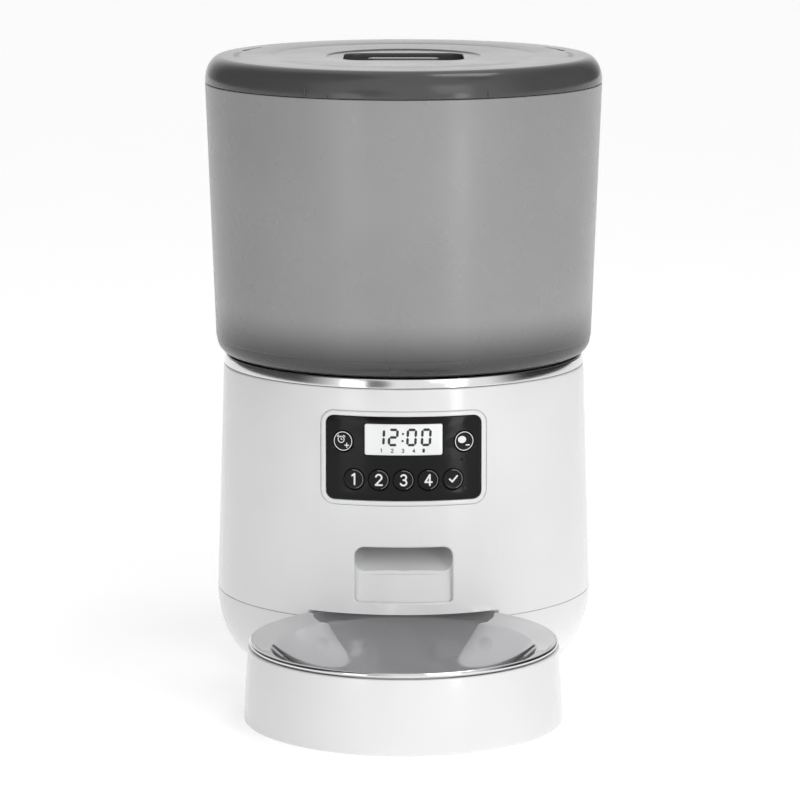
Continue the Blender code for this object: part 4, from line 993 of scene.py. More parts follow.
# %% The finger recess and its grip bar
recess_floor = dish - 9.4 * MM
tub_outline = rounded_rectangle(65 * MM, 46 * MM, 11.5 * MM)
tub = lofted(
    "recess_tub",
    straight(slab_rings(tub_outline, recess_floor - WALL, dish - 0.9 * MM, 1.2 * MM)),
)
mouth = rounded_rectangle(60 * MM, 41 * MM, 9 * MM)
recess = straight(flared(mouth, 9.4 * MM, 0.8 * MM) + (0, 0, dish))
bar = lofted(
    "grip_bar",
    straight(slab_rings(stadium(36 * MM, 8 * MM, steps=12), recess_floor - 0.8 * MM, dish - 0.6 * MM, 1.0 * MM, 5)),
)
combine(lid, [tub], "UNION")
combine(lid, [lofted("recess_cutter", recess)])
combine(lid, [bar], "UNION", "MANIFOLD")
lid_lugs = [
    ring_block(
        f"lid_lug_{i}",
        lid_inner - 0.7 * MM,
        lid_inner + MM,
        angle + 21,
        angle + 33,
        lid_low + 0.6 * MM,
        lid_low + 2.4 * MM,
        0.1 * MM,
    )
    for i, angle in enumerate(LUG_ANGLES)
]
combine(lid, lid_lugs, "UNION")
print("lid:", len(lid.data.polygons), "faces")

# %% [markdown]
# ### Marks moulded in the lid
# A latch plate shows at the front of the skirt as two fine upright lines, and the rim carries small
# marks that say which way the lid turns. Plain arrows and ticks do that here. Arrows, ticks and
# grooves are all slices of flat rings, sunk or raised by a fraction of a millimetre.

# %% Latch lines in the skirt
grooves = []
for i, (angle, high) in enumerate(((-118.4, 4.6), (-111.4, 1.7), (-97.5, 4.6), (-66.0, 4.8))):
    low = lid_low + (0.5 if high > 2 else 0.2) * MM if i != 2 else lid_low + 3.2 * MM
    grooves.append(
        ring_block(
            f"latch_line_{i}",
            RIM_RADIUS - 0.35 * MM,
            RIM_RADIUS + MM,
            angle - 0.13,
            angle + 0.13,
            low,
            lid_low + high * MM,
            0.0,
        )
    )
combine(lid, grooves)
finish_piece(lid, SMOKE_LID, "smoked_plastic", "lid", "lid")


# %% Turning arrows on the rim
def arrow(name, radius, width, first, last, head, low, high):
    """A slice of a flat ring that ends in a triangle whose sides are twice its width."""
    half = width / 2
    out = arc((0, 0), (radius + half, radius + half), first, last, 16)
    back = arc((0, 0), (radius - half, radius - half), last, first, 16)
    turn = math.radians(last)
    tip = math.radians(last + head)
    point = [
        ((radius + 2.4 * half) * math.cos(turn), (radius + 2.4 * half) * math.sin(turn)),
        (radius * math.cos(tip), radius * math.sin(tip)),
        ((radius - 2.4 * half) * math.cos(turn), (radius - 2.4 * half) * math.sin(turn)),
    ]
    outline = np.vstack([out, point, back])
    if last < first:
        outline = outline[::-1]
    return lofted(name, straight(slab_rings(outline, low, high, 0.0, 1)))


marks = []
mark_low, mark_high = lid_top - 0.15 * MM, lid_top
for side, start in ((0, 150.0), (1, 30.0)):
    way = 1 if side == 0 else -1
    marks.append(arrow(f"mark_arrow_{side}", 84 * MM, 1.0 * MM, start, start + 14 * way, 2.4 * way, mark_low, mark_high))
    for k in range(5):
        a = start + (22 + 4 * k) * way
        marks.append(ring_block(f"mark_tick_{side}_{k}", 82.6 * MM, 85.4 * MM, a - 0.4, a + 0.4, mark_low, mark_high, 0.0))
mark_set = marks[0]
combine(mark_set, marks[1:], "UNION")
mark_set.name = "lid_marks"
finish_piece(mark_set, GREY, "smoked_plastic", "lid")

# %% [markdown]
# ## The control panel
# A white frame holds a glossy black plate. Both follow the taper and the curve of the body, so they
# are drawn flat, as an outline and a thickness, and then wrapped on the front.

# %% The white frame
def swept_frame(name, count, section):
    """A closed ring: the section's (margin, height) pairs carried round the panel's outline."""
    rings = [
        np.column_stack([panel_outline(margin, count), np.full(count, height)])
        for margin, height in section
    ]
    return surface(name, on_front(rings))


bezel_section = soften(
    [(0.3 * MM, -2.1 * MM), (0.3 * MM, 0.7 * MM), (BEZEL, 0.7 * MM), (BEZEL, -2.1 * MM)],
    [0.0, 0.45 * MM, 0.8 * MM, 0.0],
    6,
)
bezel = swept_frame("panel_frame", 260, bezel_section)
bezel_lip = swept_frame(
    "panel_frame_seat", 260, [(-1.6 * MM, -4.9 * MM), (-1.6 * MM, -2.1 * MM), (BEZEL, -2.1 * MM), (BEZEL, -4.9 * MM)]
)
combine(bezel, [bezel_lip], "UNION")
finish_piece(bezel, WHITE, "white_plastic", "base", "panel_bezel")

# %% The black plate
def plate(name, outline, low, high, edge=0.25 * MM, levels=6):
    """A wrapped plate: its rim is rounded, and its front and back are rings of the outline drawn
    in to the middle, so the face stays curved instead of being one flat facet."""
    rim = slab_rings(outline, low, high, edge, 3)
    middle = outline.mean(0)
    face = []
    for share in np.linspace(0, 1, levels + 1)[1:]:
        flat = (rim[-1][:, :2] - middle) * (1 - share) + middle
        face.append(np.column_stack([flat, np.full(len(flat), high)]))
    back = [np.column_stack([f[:, :2], np.full(len(f), low)]) for f in face[::-1]]
    return surface(name, on_front(np.stack([*back, *rim, *face])), wrap_rows=False)


def key_face(node):
    """Turn about the body's axis and the middle of a key's round face, on the body's skin."""
    low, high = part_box(node)
    height = (low.z + high.z) / 2
    front = KEY_PLACES[node]
    reach = body_radius(height)
    turn = math.asin(front / reach)
    origin = (
        BODY_AXIS[0] + reach * math.sin(turn),
        BODY_AXIS[1] - reach * math.cos(turn),
        height,
    )
    return turn, origin


KEY_PITCH = 12.1 * MM
KEY_RADIUS = 5.1 * MM
KEY_PLACES = {f"button_{i + 1}": (i - 2) * KEY_PITCH for i in range(4)}
KEY_PLACES |= {"button_ok": 2 * KEY_PITCH, "button_alarm": -29.5 * MM, "button_record": 29.5 * MM}
panel = plate("panel_plate", panel_outline(0), -1.8 * MM, 0.15 * MM, 0.3 * MM)
glass_low, glass_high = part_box("display")
DISPLAY_MIDDLE = (glass_low.z + glass_high.z) / 2
DISPLAY_SIZE = (glass_high.x - glass_low.x + 0.6 * MM, glass_high.z - glass_low.z + 0.6 * MM)
window = rounded_rectangle(*DISPLAY_SIZE, 0.8 * MM, (0, DISPLAY_MIDDLE), 6)
holes = [lofted("window_cutter", on_front(flared(spaced(window, 160), 20 * MM, 0.3 * MM)))]
for node in KEY_PLACES:
    turn, origin = key_face(node)
    rim = flared(circle(KEY_RADIUS + 0.3 * MM, steps=64), 20 * MM, 0.35 * MM) + (0, 0, 0.15 * MM)
    holes.append(lofted(node + "_cutter", on_plane(rim, origin, turn)))
sound_turn = math.asin(28.5 * MM / body_radius(117.1 * MM))
sound_reach = body_radius(117.1 * MM)
sound_origin = (
    BODY_AXIS[0] + sound_reach * math.sin(sound_turn),
    BODY_AXIS[1] - sound_reach * math.cos(sound_turn),
    117.1 * MM,
)
sound_rim = flared(circle(0.8 * MM, steps=24), 20 * MM, 0.15 * MM) + (0, 0, 0.15 * MM)
holes.append(lofted("microphone_cutter", on_plane(sound_rim, sound_origin, sound_turn)))
combine(panel, holes, crisp=30)
finish_piece(panel, BLACK_GLOSS, "black_panel", "base", "control_panel")

# %% [markdown]
# ### The display
# The display is a pale plate set a little behind the window. Its digits are seven-segment shapes:
# each segment is a flat hexagon bar, a few hundredths of a millimetre proud, and all of them are
# leant a little to the right as such digits are.

# %% The display's plate
display = plate("display_plate", spaced(rounded_rectangle(
    DISPLAY_SIZE[0] - 0.6 * MM, DISPLAY_SIZE[1] - 0.6 * MM, 0.6 * MM, (0, DISPLAY_MIDDLE), 4), 120), -5.5 * MM, -0.4 * MM, 0.1 * MM)
finish_piece(display, DISPLAY, "display", "base", "display")

# %% Segments
SEGMENTS = {"0": "abcdef", "1": "bc", "2": "abdeg"}


def bar(start, end, width):
    """A flat bar between two points with pointed ends: a hexagon."""
    start, end = np.array(start, float), np.array(end, float)
    along = (end - start) / np.linalg.norm(end - start)
    across = np.array([-along[1], along[0]]) * width / 2
    nib = along * width / 2
    return np.array(
        [start, start + nib - across, end - nib - across, end, end - nib + across, start + nib + across]
    )


def digit_bars(digit, width, height, stroke, gap):
    """The hexagons of one seven-segment digit whose lower left corner is at 0, 0."""
    half = height / 2
    ends = {
        "a": ((0, height), (width, height)),
        "b": ((width, half), (width, height)),
        "c": ((width, 0), (width, half)),
        "d": ((0, 0), (width, 0)),
        "e": ((0, 0), (0, half)),
        "f": ((0, half), (0, height)),
        "g": ((0, half), (width, half)),
    }
    bars = []
    for name in SEGMENTS[digit]:
        a, b = (np.array(end, float) for end in ends[name])
        along = (b - a) / np.linalg.norm(b - a)
        bars.append(bar(a + along * gap, b - along * gap, stroke))
    return bars


def flat_print(name, outlines, low, high, place):
    """Thin prints: each outline becomes a closed plate from low to high, and `place` puts its
    u, v, height rings on the piece. All of them end up in one mesh."""
    meshes = [lofted(f"{name}_{i}", place(slab_rings(o, low, high, 0.0, 1))) for i, o in enumerate(outlines)]
    return merged(name, meshes)


def merged(name, objects):
    """Several separate closed meshes as one object."""
    shape = bmesh.new()
    for o in objects:
        shape.from_mesh(o.data)
        bpy.data.objects.remove(o, do_unlink=True)
    mesh = bpy.data.meshes.new(name)
    shape.to_mesh(mesh)
    shape.free()
    mesh.shade_smooth()
    mesh.set_sharp_from_angle(angle=math.radians(35))
    made = bpy.data.objects.new(name, mesh)
    bpy.context.scene.collection.objects.link(made)
    return made


digit_size = (3.9 * MM, 7.5 * MM)
digit_low = 124.7 * MM
lean = 0.05
outlines = []
for digit, left in (("1", -13.8), ("2", -7.2), ("0", 1.8), ("0", 8.9)):
    for outline in digit_bars(digit, *digit_size, 1.25 * MM, 0.1 * MM):
        outlines.append(outline + (left * MM, digit_low))
for height in (126.7, 130.2):
    outlines.append(rounded_rectangle(1.0 * MM, 1.0 * MM, 0.2 * MM, (-0.6 * MM, height * MM), 2))
outlines = [o + np.column_stack([(o[:, 1] - digit_low) * lean, np.zeros(len(o))]) for o in outlines]
outlines.append(rounded_rectangle(1.2 * MM, 1.9 * MM, 0.2 * MM, (9.8 * MM, 121.9 * MM), 2))
digits = flat_print("display_digits", outlines, -0.45 * MM, -0.37 * MM, on_front)
finish_piece(digits, SEGMENT, "display", "base")

# %% [markdown]
# ### Numerals
# The numerals on the keys and the small row in the display are plain figures. They are drawn with
# strokes: a centre line, a width, and round ends, so one helper draws every figure and every icon.

# %% Figures from strokes
def stroke(line, width, closed=False):
    """The outline at half a width on both sides of a centre line, with a half circle at each end."""
    line = np.asarray(line, float)
    along = np.gradient(line, axis=0)
    if closed:
        along = np.roll(line, -1, axis=0) - np.roll(line, 1, axis=0)
    along /= np.linalg.norm(along, axis=1)[:, None]
    side = np.column_stack([along[:, 1], -along[:, 0]]) * width / 2
    if closed:
        return line + side, line - side
    end = math.degrees(math.atan2(along[-1, 1], along[-1, 0]))
    start = math.degrees(math.atan2(along[0, 1], along[0, 0]))
    cap = (width / 2, width / 2)
    return np.vstack(
        [
            line + side,
            arc(line[-1], cap, end - 90, end + 90, 6)[1:-1],
            (line - side)[::-1],
            arc(line[0], cap, start + 90, start + 270, 6)[1:-1],
        ]
    )


FIGURES = {
    "1": [[(-0.16, 0.30), (0.05, 0.46), (0.05, -0.46)]],
    "2": [
        np.vstack(
            [arc((0.0, 0.21), (0.25, 0.25), 165, -30, 14), [(-0.27, -0.45), (0.28, -0.45)]]
        )
    ],
    "3": [
        np.vstack([arc((0.0, 0.235), (0.225, 0.225), 155, -80, 12), [(-0.02, 0.01)]]),
        arc((-0.01, -0.225), (0.26, 0.235), 88, -160, 14),
    ],
    "4": [[(0.12, -0.46), (0.12, 0.45), (-0.28, -0.19), (0.3, -0.19)]],
    "tick": [[(-0.36, 0.0), (-0.1, -0.26), (0.4, 0.3)]],
}


def densify(line, step=0.04):
    """The same line with points no further apart than step, so its joints stay round."""
    line = np.asarray(line, float)
    lengths = np.linalg.norm(np.diff(line, axis=0), axis=1)
    along = np.concatenate([[0], np.cumsum(lengths)])
    wanted = np.unique(np.concatenate([along, np.arange(0, along[-1], step)]))
    return np.column_stack([np.interp(wanted, along, line[:, k]) for k in (0, 1)])


def pen(line, width):
    """Round dots and straight bars along a line: every two neighbouring points make a bar with
    round ends, so corners of any angle stay clean."""
    line = np.asarray(line, float)
    return [stroke(line[i : i + 2], width) for i in range(len(line) - 1)]


def figure(name, size, width, middle=(0.0, 0.0)):
    """All bars of one figure, scaled to a height and moved to its middle."""
    return [
        outline
        for line in FIGURES[name]
        for outline in pen(np.asarray(line, float) * size + middle, width)
    ]


def stroke_print(name, outlines, low, high, place):
    """Overlapping strokes as thin closed plates. Each plate is three micrometres higher than the
    one before it, so no two faces lie in one plane."""
    meshes = [
        lofted(f"{name}_{i}", place(slab_rings(o, low, high + 0.003 * MM * (i % 5), 0.0, 1)))
        for i, o in enumerate(outlines)
    ]
    return merged(name, meshes)


row = []
for figure_name, x in (("1", -10.9), ("2", -5.6), ("3", -0.3), ("4", 5.0)):
    outline = figure(figure_name, 1.9 * MM, 0.36 * MM, (x * MM, 121.9 * MM))
    row.append(stroke_print("row_" + figure_name, outline, -0.45 * MM, -0.38 * MM, on_front))
finish_piece(merged("display_row", row), SEGMENT, "display", "base")

# %% [markdown]
# ### Keys
# Each key is a round cap with a soft edge and a slightly hollow face, and carries its figure or
# icon as a thin print. The alarm and record keys have a fine pale ring printed round the cap. On the
# other keys, a grey arc round the right side and top of the cap's soft edge is a painted highlight,
# where the light from the right catches that edge. Cap, ring, arc and print ride on the key's own body,
# so they go in together when the key is pressed.

# %% A key's cap
PROUD = 0.45 * MM
CAP_DEPTH = 3.8 * MM


def key_cap(node):
    """A closed lump on the key's plane: (radius, height) rows turned about the key's own axis."""
    turn, origin = key_face(node)
    profile = soften(
        [
            (0, -CAP_DEPTH),
            (KEY_RADIUS, -CAP_DEPTH),
            (KEY_RADIUS, PROUD),
            (3.9 * MM, PROUD - 0.12 * MM),
            (0, PROUD - 0.16 * MM),
        ],
        [0, 0.3 * MM, 0.4 * MM, 0.8 * MM, 0],
        6,
        False,
    )
    rings = [
        np.column_stack([r * circle(1.0, steps=64), np.full(64, h)]) for r, h in profile
    ]
    return surface(node + "_cap", on_plane(rings, origin, turn), wrap_rows=False)


def ring_print_and_highlight(name, radius, width, low, high, turn, origin, first=0.0, last=360.0):
    """A thin flat ring on the key's plane, or part of one: a tube with a rectangular section."""
    whole = last - first >= 360
    count = 96
    a = np.radians(np.linspace(first, last, count + 1))[: count if whole else None]
    section = [(-width / 2, low), (width / 2, low), (width / 2, high), (-width / 2, high)]
    rows = [
        np.column_stack([(radius + dr) * np.cos(a), (radius + dr) * np.sin(a), np.full(len(a), h)])
        for dr, h in section
    ]
    points = on_plane(rows, origin, turn)
    if whole:
        return surface(name, points)
    start = np.broadcast_to(points[:, :1].mean(0, keepdims=True), points[:, :1].shape)
    end = np.broadcast_to(points[:, -1:].mean(0, keepdims=True), points[:, -1:].shape)
    return surface(name, np.concatenate([start, points, end], axis=1), wrap_columns=False)


TICK_LOW, TICK_HIGH = PROUD - 0.3 * MM, PROUD - 0.05 * MM


def key_print(node, outlines):
    turn, origin = key_face(node)
    return stroke_print(
        node + "_print", outlines, TICK_LOW, TICK_HIGH, lambda rings: on_plane(rings, origin, turn)
    )


for node in KEY_PLACES:
    body = node
    finish_piece(key_cap(node), BLACK_GLOSS, "black_button", body, node)
print("keys:", len(KEY_PLACES))

# %% Key prints
clock_ring = 1.55 * MM * arc((0, 0), (1, 1), 0, 360, 20) + (-1.0 * MM, 0.8 * MM)
clock = [
    *pen(clock_ring, 0.4 * MM),
    stroke(np.array([(-2.9, 2.2), (-2.3, 2.8)]) * MM, 0.5 * MM),
    stroke(np.array([(0.9, 2.2), (0.3, 2.8)]) * MM, 0.5 * MM),
    stroke(np.array([(-1.0, 1.6), (-1.0, 0.8)]) * MM, 0.34 * MM),
    stroke(np.array([(-1.0, 0.8), (-0.4, 0.8)]) * MM, 0.34 * MM),
    stroke(np.array([(0.9, -2.0), (2.9, -2.0)]) * MM, 0.5 * MM),
    stroke(np.array([(1.9, -3.0), (1.9, -1.0)]) * MM, 0.5 * MM),
]
voice = [
    np.array([2.1 * MM, 1.75 * MM]) * circle(1.0, steps=36) + (-1.1 * MM, 0.8 * MM),
    stroke(np.array([(1.0, -2.0), (2.6, -2.0)]) * MM, 0.6 * MM),
]
prints = {
    "button_1": figure("1", 5.7 * MM, 0.85 * MM),
    "button_2": figure("2", 5.7 * MM, 0.85 * MM),
    "button_3": figure("3", 5.7 * MM, 0.85 * MM),
    "button_4": figure("4", 5.7 * MM, 0.85 * MM),
    "button_ok": figure("tick", 5.0 * MM, 0.85 * MM),
    "button_alarm": clock,
    "button_record": voice,
}
for node, outlines in prints.items():
    finish_piece(key_print(node, outlines), PRINT_WHITE, "black_button", node)
    turn, origin = key_face(node)
    # Alarm and record keys get a whole printed ring; the other keys get a grey arc round the right side and top of
    # the cap's edge, a painted highlight.
    bright = node in ("button_alarm", "button_record")
    arcs = [(0, 360)] if bright else [(-75, 100)]
    for first, last in arcs:
        ring_print_and_highlight_mark = ring_print_and_highlight(
            node + "_ring", 4.55 * MM, (0.34 if bright else 0.22) * MM, PROUD - 0.4 * MM, PROUD + 0.02 * MM, turn, origin, first, last
        )
        finish_piece(ring_print_and_highlight_mark, PRINT_WHITE if bright else PAINTED_HIGHLIGHT_GREY, "black_button", node)

# %% [markdown]
# ## The bowl and its stand
# The stand is a round tray with a slightly tapered wall. The bowl is one sheet: a rolled edge that
# rests on the stand's rim, a narrow flange that slopes in, and a round well, which is part of a
# sphere. Mirror steel shows every flat spot, so the profile is followed in many small steps.

# %% The stand
bowl_low, bowl_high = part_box("steel_bowl")
stand_low, stand_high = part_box("bowl_stand")
FOOT_RADIUS = half_width("bowl_stand")
STAND_RIM = 74.7 * MM
STAND_WALL = 2.2 * MM
stand_profile = soften(
    [
        (38 * MM, stand_low.z),
        (FOOT_RADIUS, stand_low.z),
        (STAND_RIM, stand_high.z),
        (STAND_RIM - STAND_WALL, stand_high.z),
        (FOOT_RADIUS - STAND_WALL, stand_low.z + 2.2 * MM),
        (38 * MM, stand_low.z + 2.2 * MM),
    ],
    [0.5 * MM, 1.3 * MM, 0.7 * MM, 0.5 * MM, 1.5 * MM, 0.5 * MM],
    7,
)
stand = turned("bowl_stand_wall", stand_profile, BOWL_AXIS)
pockets = []
for number in range(1, 4):
    x, y = middle_xy(f"stand_pad_{number}")
    radius = half_width(f"stand_pad_{number}") + 0.3 * MM
    pockets.append(cylinder(f"pad_pocket_{number}", (x - BOWL_AXIS[0], y - BOWL_AXIS[1]), radius, -MM, stand_low.z + MM, BOWL_AXIS))
combine(stand, pockets)
finish_piece(stand, WHITE, "white_plastic", "stand", "bowl_stand")

# %% The bowl
ROLL = 1.3 * MM
SHEET = 1.0 * MM
bowl_seat = stand_high.z + 0.3 * MM
bowl_edge = half_width("steel_bowl")
lip = bowl_edge - 2 * ROLL
WELL_RADIUS = 64.0 * MM
FLANGE_DROP = 1.2 * MM
well_floor = bowl_low.z + SHEET
depth = bowl_seat - FLANGE_DROP - well_floor
sphere = (WELL_RADIUS**2 + depth**2) / (2 * depth)
slope = math.degrees(math.asin(WELL_RADIUS / sphere))  # of the well's wall at its edge
well_middle = (0.0, well_floor + sphere)
inside = np.vstack(
    [
        arc((bowl_edge - ROLL, bowl_seat + ROLL), (ROLL, ROLL), -90, 128, 20),
        soften(
            [
                (lip - 0.2 * MM, bowl_seat + 1.5 * MM),
                (lip - 1.8 * MM, bowl_seat + 0.9 * MM),
                (WELL_RADIUS, bowl_seat - FLANGE_DROP),
                arc(well_middle, (sphere, sphere), slope - 92, slope - 92, 0)[0],
            ],
            [0, 1.2 * MM, 4.0 * MM, 0],
            10,
            False,
        ),
        arc(well_middle, (sphere, sphere), slope - 92.5, -90, 80)[:-1],
        [(0, well_floor)],
    ]
)
outside = np.vstack(
    [
        [(0, well_floor - SHEET)],
        arc(well_middle, (sphere + SHEET, sphere + SHEET), -90, slope - 91, 80)[1:],
        soften(
            [
                arc(well_middle, (sphere + SHEET, sphere + SHEET), slope - 90.5, slope - 90.5, 0)[0],
                (lip - 1.2 * MM, bowl_seat - 0.4 * MM),
                (lip + 0.6 * MM, bowl_seat + 0.25 * MM),
            ],
            [0, 1.0 * MM, 0],
            8,
            False,
        ),
    ]
)
bowl = turned("steel_bowl_sheet", np.vstack([inside, outside]), BOWL_AXIS, 300, crisp=50)
finish_piece(bowl, BOWL_STEEL, "polished_steel", "stand", "steel_bowl")

# %% [markdown]
# ## Under the feeder
# The underside carries rubber feet, four screws and the battery door. They are small, but they are
# what one sees when the feeder is picked up, so they get soft edges, a cross in each screw head and
# ribs to grip the door by.


# %% Feet and pads
def disc(name, node, round_edge, material, slot, body):
    """A turned disc in the node's own box with a round lower edge."""
    low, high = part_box(node)
    x, y = middle_xy(node)
    radius = half_width(node)
    profile = soften([(0, low.z), (radius, low.z), (radius, high.z), (0, high.z)], [0, round_edge, 0.1 * MM, 0], 5)
    made = turned(name, profile, (x, y), SMALL)
    return finish_piece(made, material, slot, body, node)


for number in range(1, 5):
    disc(f"foot_{number}_disc", f"foot_{number}", 0.8 * MM, RUBBER, "rubber", "base")
for number in range(1, 4):
    disc(f"stand_pad_{number}_disc", f"stand_pad_{number}", 0.4 * MM, RUBBER, "rubber", "stand")

# %% Screws
for number in range(1, 5):
    node = f"case_screw_{number}"
    low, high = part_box(node)
    middle = middle_xy(node)
    head = half_width(node)
    shank = 1.5 * MM
    profile = soften(
        [(0, low.z), (head, low.z), (head, low.z + MM), (shank, low.z + MM), (shank, high.z - MM), (0, high.z)],
        [0, 0.5 * MM, 0.1 * MM, 0, 0, 0],
        4,
    )
    screw = turned(node + "_turned", profile, middle, 32)
    arms = []
    for turn in (0.0, 90.0):
        outline = stadium(3.2 * MM, 0.7 * MM, steps=4)
        c, s = math.cos(math.radians(turn)), math.sin(math.radians(turn))
        outline = outline @ np.array([[c, s], [-s, c]])
        arms.append(lofted(f"cross_{turn:.0f}", straight(slab_rings(outline, low.z - MM, low.z + 0.6 * MM, 0.0, 1), middle)))
    combine(screw, [arms[0]])
    combine(screw, [arms[1]])
    finish_piece(screw, PLAIN_STEEL, "steel_parts", "base", node)

# %% The battery door
door_outline = rounded_rectangle(*door_size, 0.8 * MM, middle_of("battery_door"))
door = lofted("battery_door_plate", straight(slab_rings(door_outline, door_low.z, door_high.z, 0.35 * MM)))
ribs = []
front_edge = door_low.y - BODY_AXIS[1]
for number in range(4):
    outline = stadium(26 * MM, 1.0 * MM, (0, front_edge + (6 + 2.4 * number) * MM), 6)
    ribs.append(lofted(f"door_groove_{number}", straight(slab_rings(outline, door_low.z - MM, door_low.z + 0.6 * MM, 0.0, 1))))
combine(door, ribs)
finish_piece(door, WHITE_SATIN, "white_plastic", "battery_door", "battery_door")

# %% [markdown]
# ## The back: socket and sound slots
# A round low-voltage socket sits in the back wall. It is an open barrel with a pin in the middle,
# turned about its own level axis.


# %% The socket
def level_turned(name, profile, height, columns=SMALL):
    """A closed profile of (radius, distance behind the body's axis) turned about a level axis at a
    height: x = r cos a, z = height + r sin a."""
    a = np.linspace(0, 2 * math.pi, columns, endpoint=False)
    r, y = np.asarray(profile, float).T
    points = np.stack(
        [
            BODY_AXIS[0] + r[:, None] * np.cos(a),
            np.broadcast_to(BODY_AXIS[1] + y[:, None], (len(y), columns)),
            height + r[:, None] * np.sin(a),
        ],
        axis=-1,
    )
    return surface(name, points)


jack_low, jack_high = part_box("power_jack")
jack_z = (jack_low.z + jack_high.z) / 2
mouth = jack_high.y - BODY_AXIS[1]
jack_profile = soften(
    [
        (0, mouth - 12 * MM),
        (4.2 * MM, mouth - 12 * MM),
        (4.2 * MM, mouth),
        (2.9 * MM, mouth),
        (2.9 * MM, mouth - 10 * MM),
        (MM, mouth - 10 * MM),
        (MM, mouth - 1.5 * MM),
        (0, mouth - 1.2 * MM),
    ],
    [0, 0.2 * MM, 0.4 * MM, 0.3 * MM, 0, 0, 0.4 * MM, 0],
    5,
)
jack = level_turned("power_jack_barrel", jack_profile, jack_z)
flange_back, flange_front = mouth - 14 * MM, mouth - 3.3 * MM
flange = lofted(
    "jack_flange",
    on_plane(
        slab_rings(rounded_rectangle(13 * MM, 13 * MM, MM), -flange_front, -flange_back, 0.3 * MM),
        (BODY_AXIS[0], BODY_AXIS[1], jack_z),
        0.0,
    ),
)
hollow = level_turned("jack_hollow", [(0, mouth - 10 * MM), (2.9 * MM, mouth - 10 * MM), (2.9 * MM, mouth), (0, mouth)], jack_z)
pin_space = level_turned("jack_pin", [(0, mouth - 11 * MM), (MM, mouth - 11 * MM), (MM, mouth - 1.5 * MM), (0, mouth - 1.5 * MM)], jack_z)
combine(flange, [hollow])
combine(flange, [pin_space], "UNION")
combine(jack, [flange], "UNION")
finish_piece(jack, BLACK_SATIN, "black_fittings", "base", "power_jack")

# %% [markdown]
# ## Inside
# The parts inside show when the hopper or the lid is lifted. Those that are plain plates and boxes
# keep the model's shape: a welded copy of each gets its edges rounded by a bevel, which is how a
# moulded plate really ends. The round ones are turned again with more columns.


# %% Softened copies
def softened(node, body, material, slot, width=0.3 * MM, segments=2, angle=30.0):
    """A welded copy of a CAD node with bevelled edges."""
    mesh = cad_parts[node].data.copy()
    shape = bmesh.new()
    shape.from_mesh(mesh)
    bmesh.ops.remove_doubles(shape, verts=shape.verts, dist=2e-6)
    bmesh.ops.dissolve_limit(shape, angle_limit=math.radians(1), verts=shape.verts, edges=shape.edges)
    shape.to_mesh(mesh)
    shape.free()
    mesh.materials.clear()
    made = bpy.data.objects.new(node + "_soft", mesh)
    bpy.context.scene.collection.objects.link(made)
    bevel = made.modifiers.new("edges", "BEVEL")
    bevel.width, bevel.segments = width, segments
    bevel.limit_method, bevel.angle_limit = "ANGLE", math.radians(angle)
    bake(made, 30)
    return finish_piece(made, material, slot, body, node)


softened("sachet_box", "lid", WHITE_SATIN, "white_plastic")
softened("sachet_cover", "sachet_cover", WHITE_SATIN, "white_plastic", 0.2 * MM)
softened("portion_baffle", "base", WHITE_SATIN, "white_plastic", 0.4 * MM)
softened("portion_wheel", "rotor", GREY, "grey_plastic", 0.35 * MM)
softened("stirrer", "rotor", SILICONE, "silicone", 0.5 * MM)
softened("drying_sachet", "lid", PAPER, "sachet_paper", 1.5 * MM, 4)

# %% The lid's seal
seal_low, seal_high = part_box("lid_seal")
seal_outer = half_width("lid_seal")
seal_profile = soften(
    [
        (seal_outer - 2.4 * MM, seal_low.z),
        (seal_outer, seal_low.z),
        (seal_outer, seal_high.z),
        (seal_outer - 2.4 * MM, seal_high.z),
    ],
    0.7 * MM,
    5,
)
seal = turned("lid_seal_ring", seal_profile)
finish_piece(seal, SILICONE, "silicone", "seal", "lid_seal")

# %% The portion chamber
CHAMBER_RADIUS = 46 * MM
chamber_low, chamber_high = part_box("portion_chamber")
chamber_outer = CHAMBER_RADIUS + WALL
chamber_profile = soften(
    [
        (5.5 * MM, chamber_low.z),
        (chamber_outer, chamber_low.z),
        (chamber_outer, chamber_high.z - WALL),
        (half_width("portion_chamber"), chamber_high.z - WALL),
        (half_width("portion_chamber"), chamber_high.z),
        (CHAMBER_RADIUS, chamber_high.z),
        (CHAMBER_RADIUS, chamber_low.z + WALL),
        (5.5 * MM, chamber_low.z + WALL),
    ],
    [0, 1.5 * MM, 0.5 * MM, 0.4 * MM, 0.4 * MM, 0.8 * MM, 1.2 * MM, 0],
    4,
)
chamber = turned("portion_chamber_cup", chamber_profile)
drop = rounded_rectangle(28 * MM, 21 * MM, 1.5 * MM, (0, -33 * MM))
combine(chamber, [lofted("drop_hole", straight(slab_rings(drop, chamber_low.z - MM, chamber_low.z + WALL + MM, 0.0, 1)))])
finish_piece(chamber, WHITE_SATIN, "white_plastic", "base", "portion_chamber")

# %% Nodes that keep their CAD shape
KEPT = {
    "rotor_shaft": PLAIN_STEEL,
    "output_gear": GREY,
    "motor_pinion": PLAIN_STEEL,
    "gearbox_case": GREY,
    "gearbox_cover": GREY,
    "gear_motor": PLAIN_STEEL,
    "key_board": BOARD,
    "main_board": BOARD,
    "microphone": PLAIN_STEEL,
    "speaker": BLACK_SATIN,
    "battery_box": WHITE_SATIN,
    "battery_contacts_front": PLAIN_STEEL,
    "battery_contacts_rear": PLAIN_STEEL,
    "cell_1": CELL,
    "cell_2": CELL,
    "cell_3": CELL,
}
for node, material in KEPT.items():
    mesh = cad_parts[node].data
    mesh.materials.clear()
    mesh.materials.append(material)
print("kept CAD nodes:", len(KEPT))

# %% [markdown]
# ## The studio
# The feeder stands on a pale floor in a bright room. A broad soft light from the right gives the
# base its clean right side and leaves the left a little grey; two low strips draw upright bands on
# the hopper; the room itself fills in the rest, and its darker ceiling gives the polished bowl
# something to contrast with.

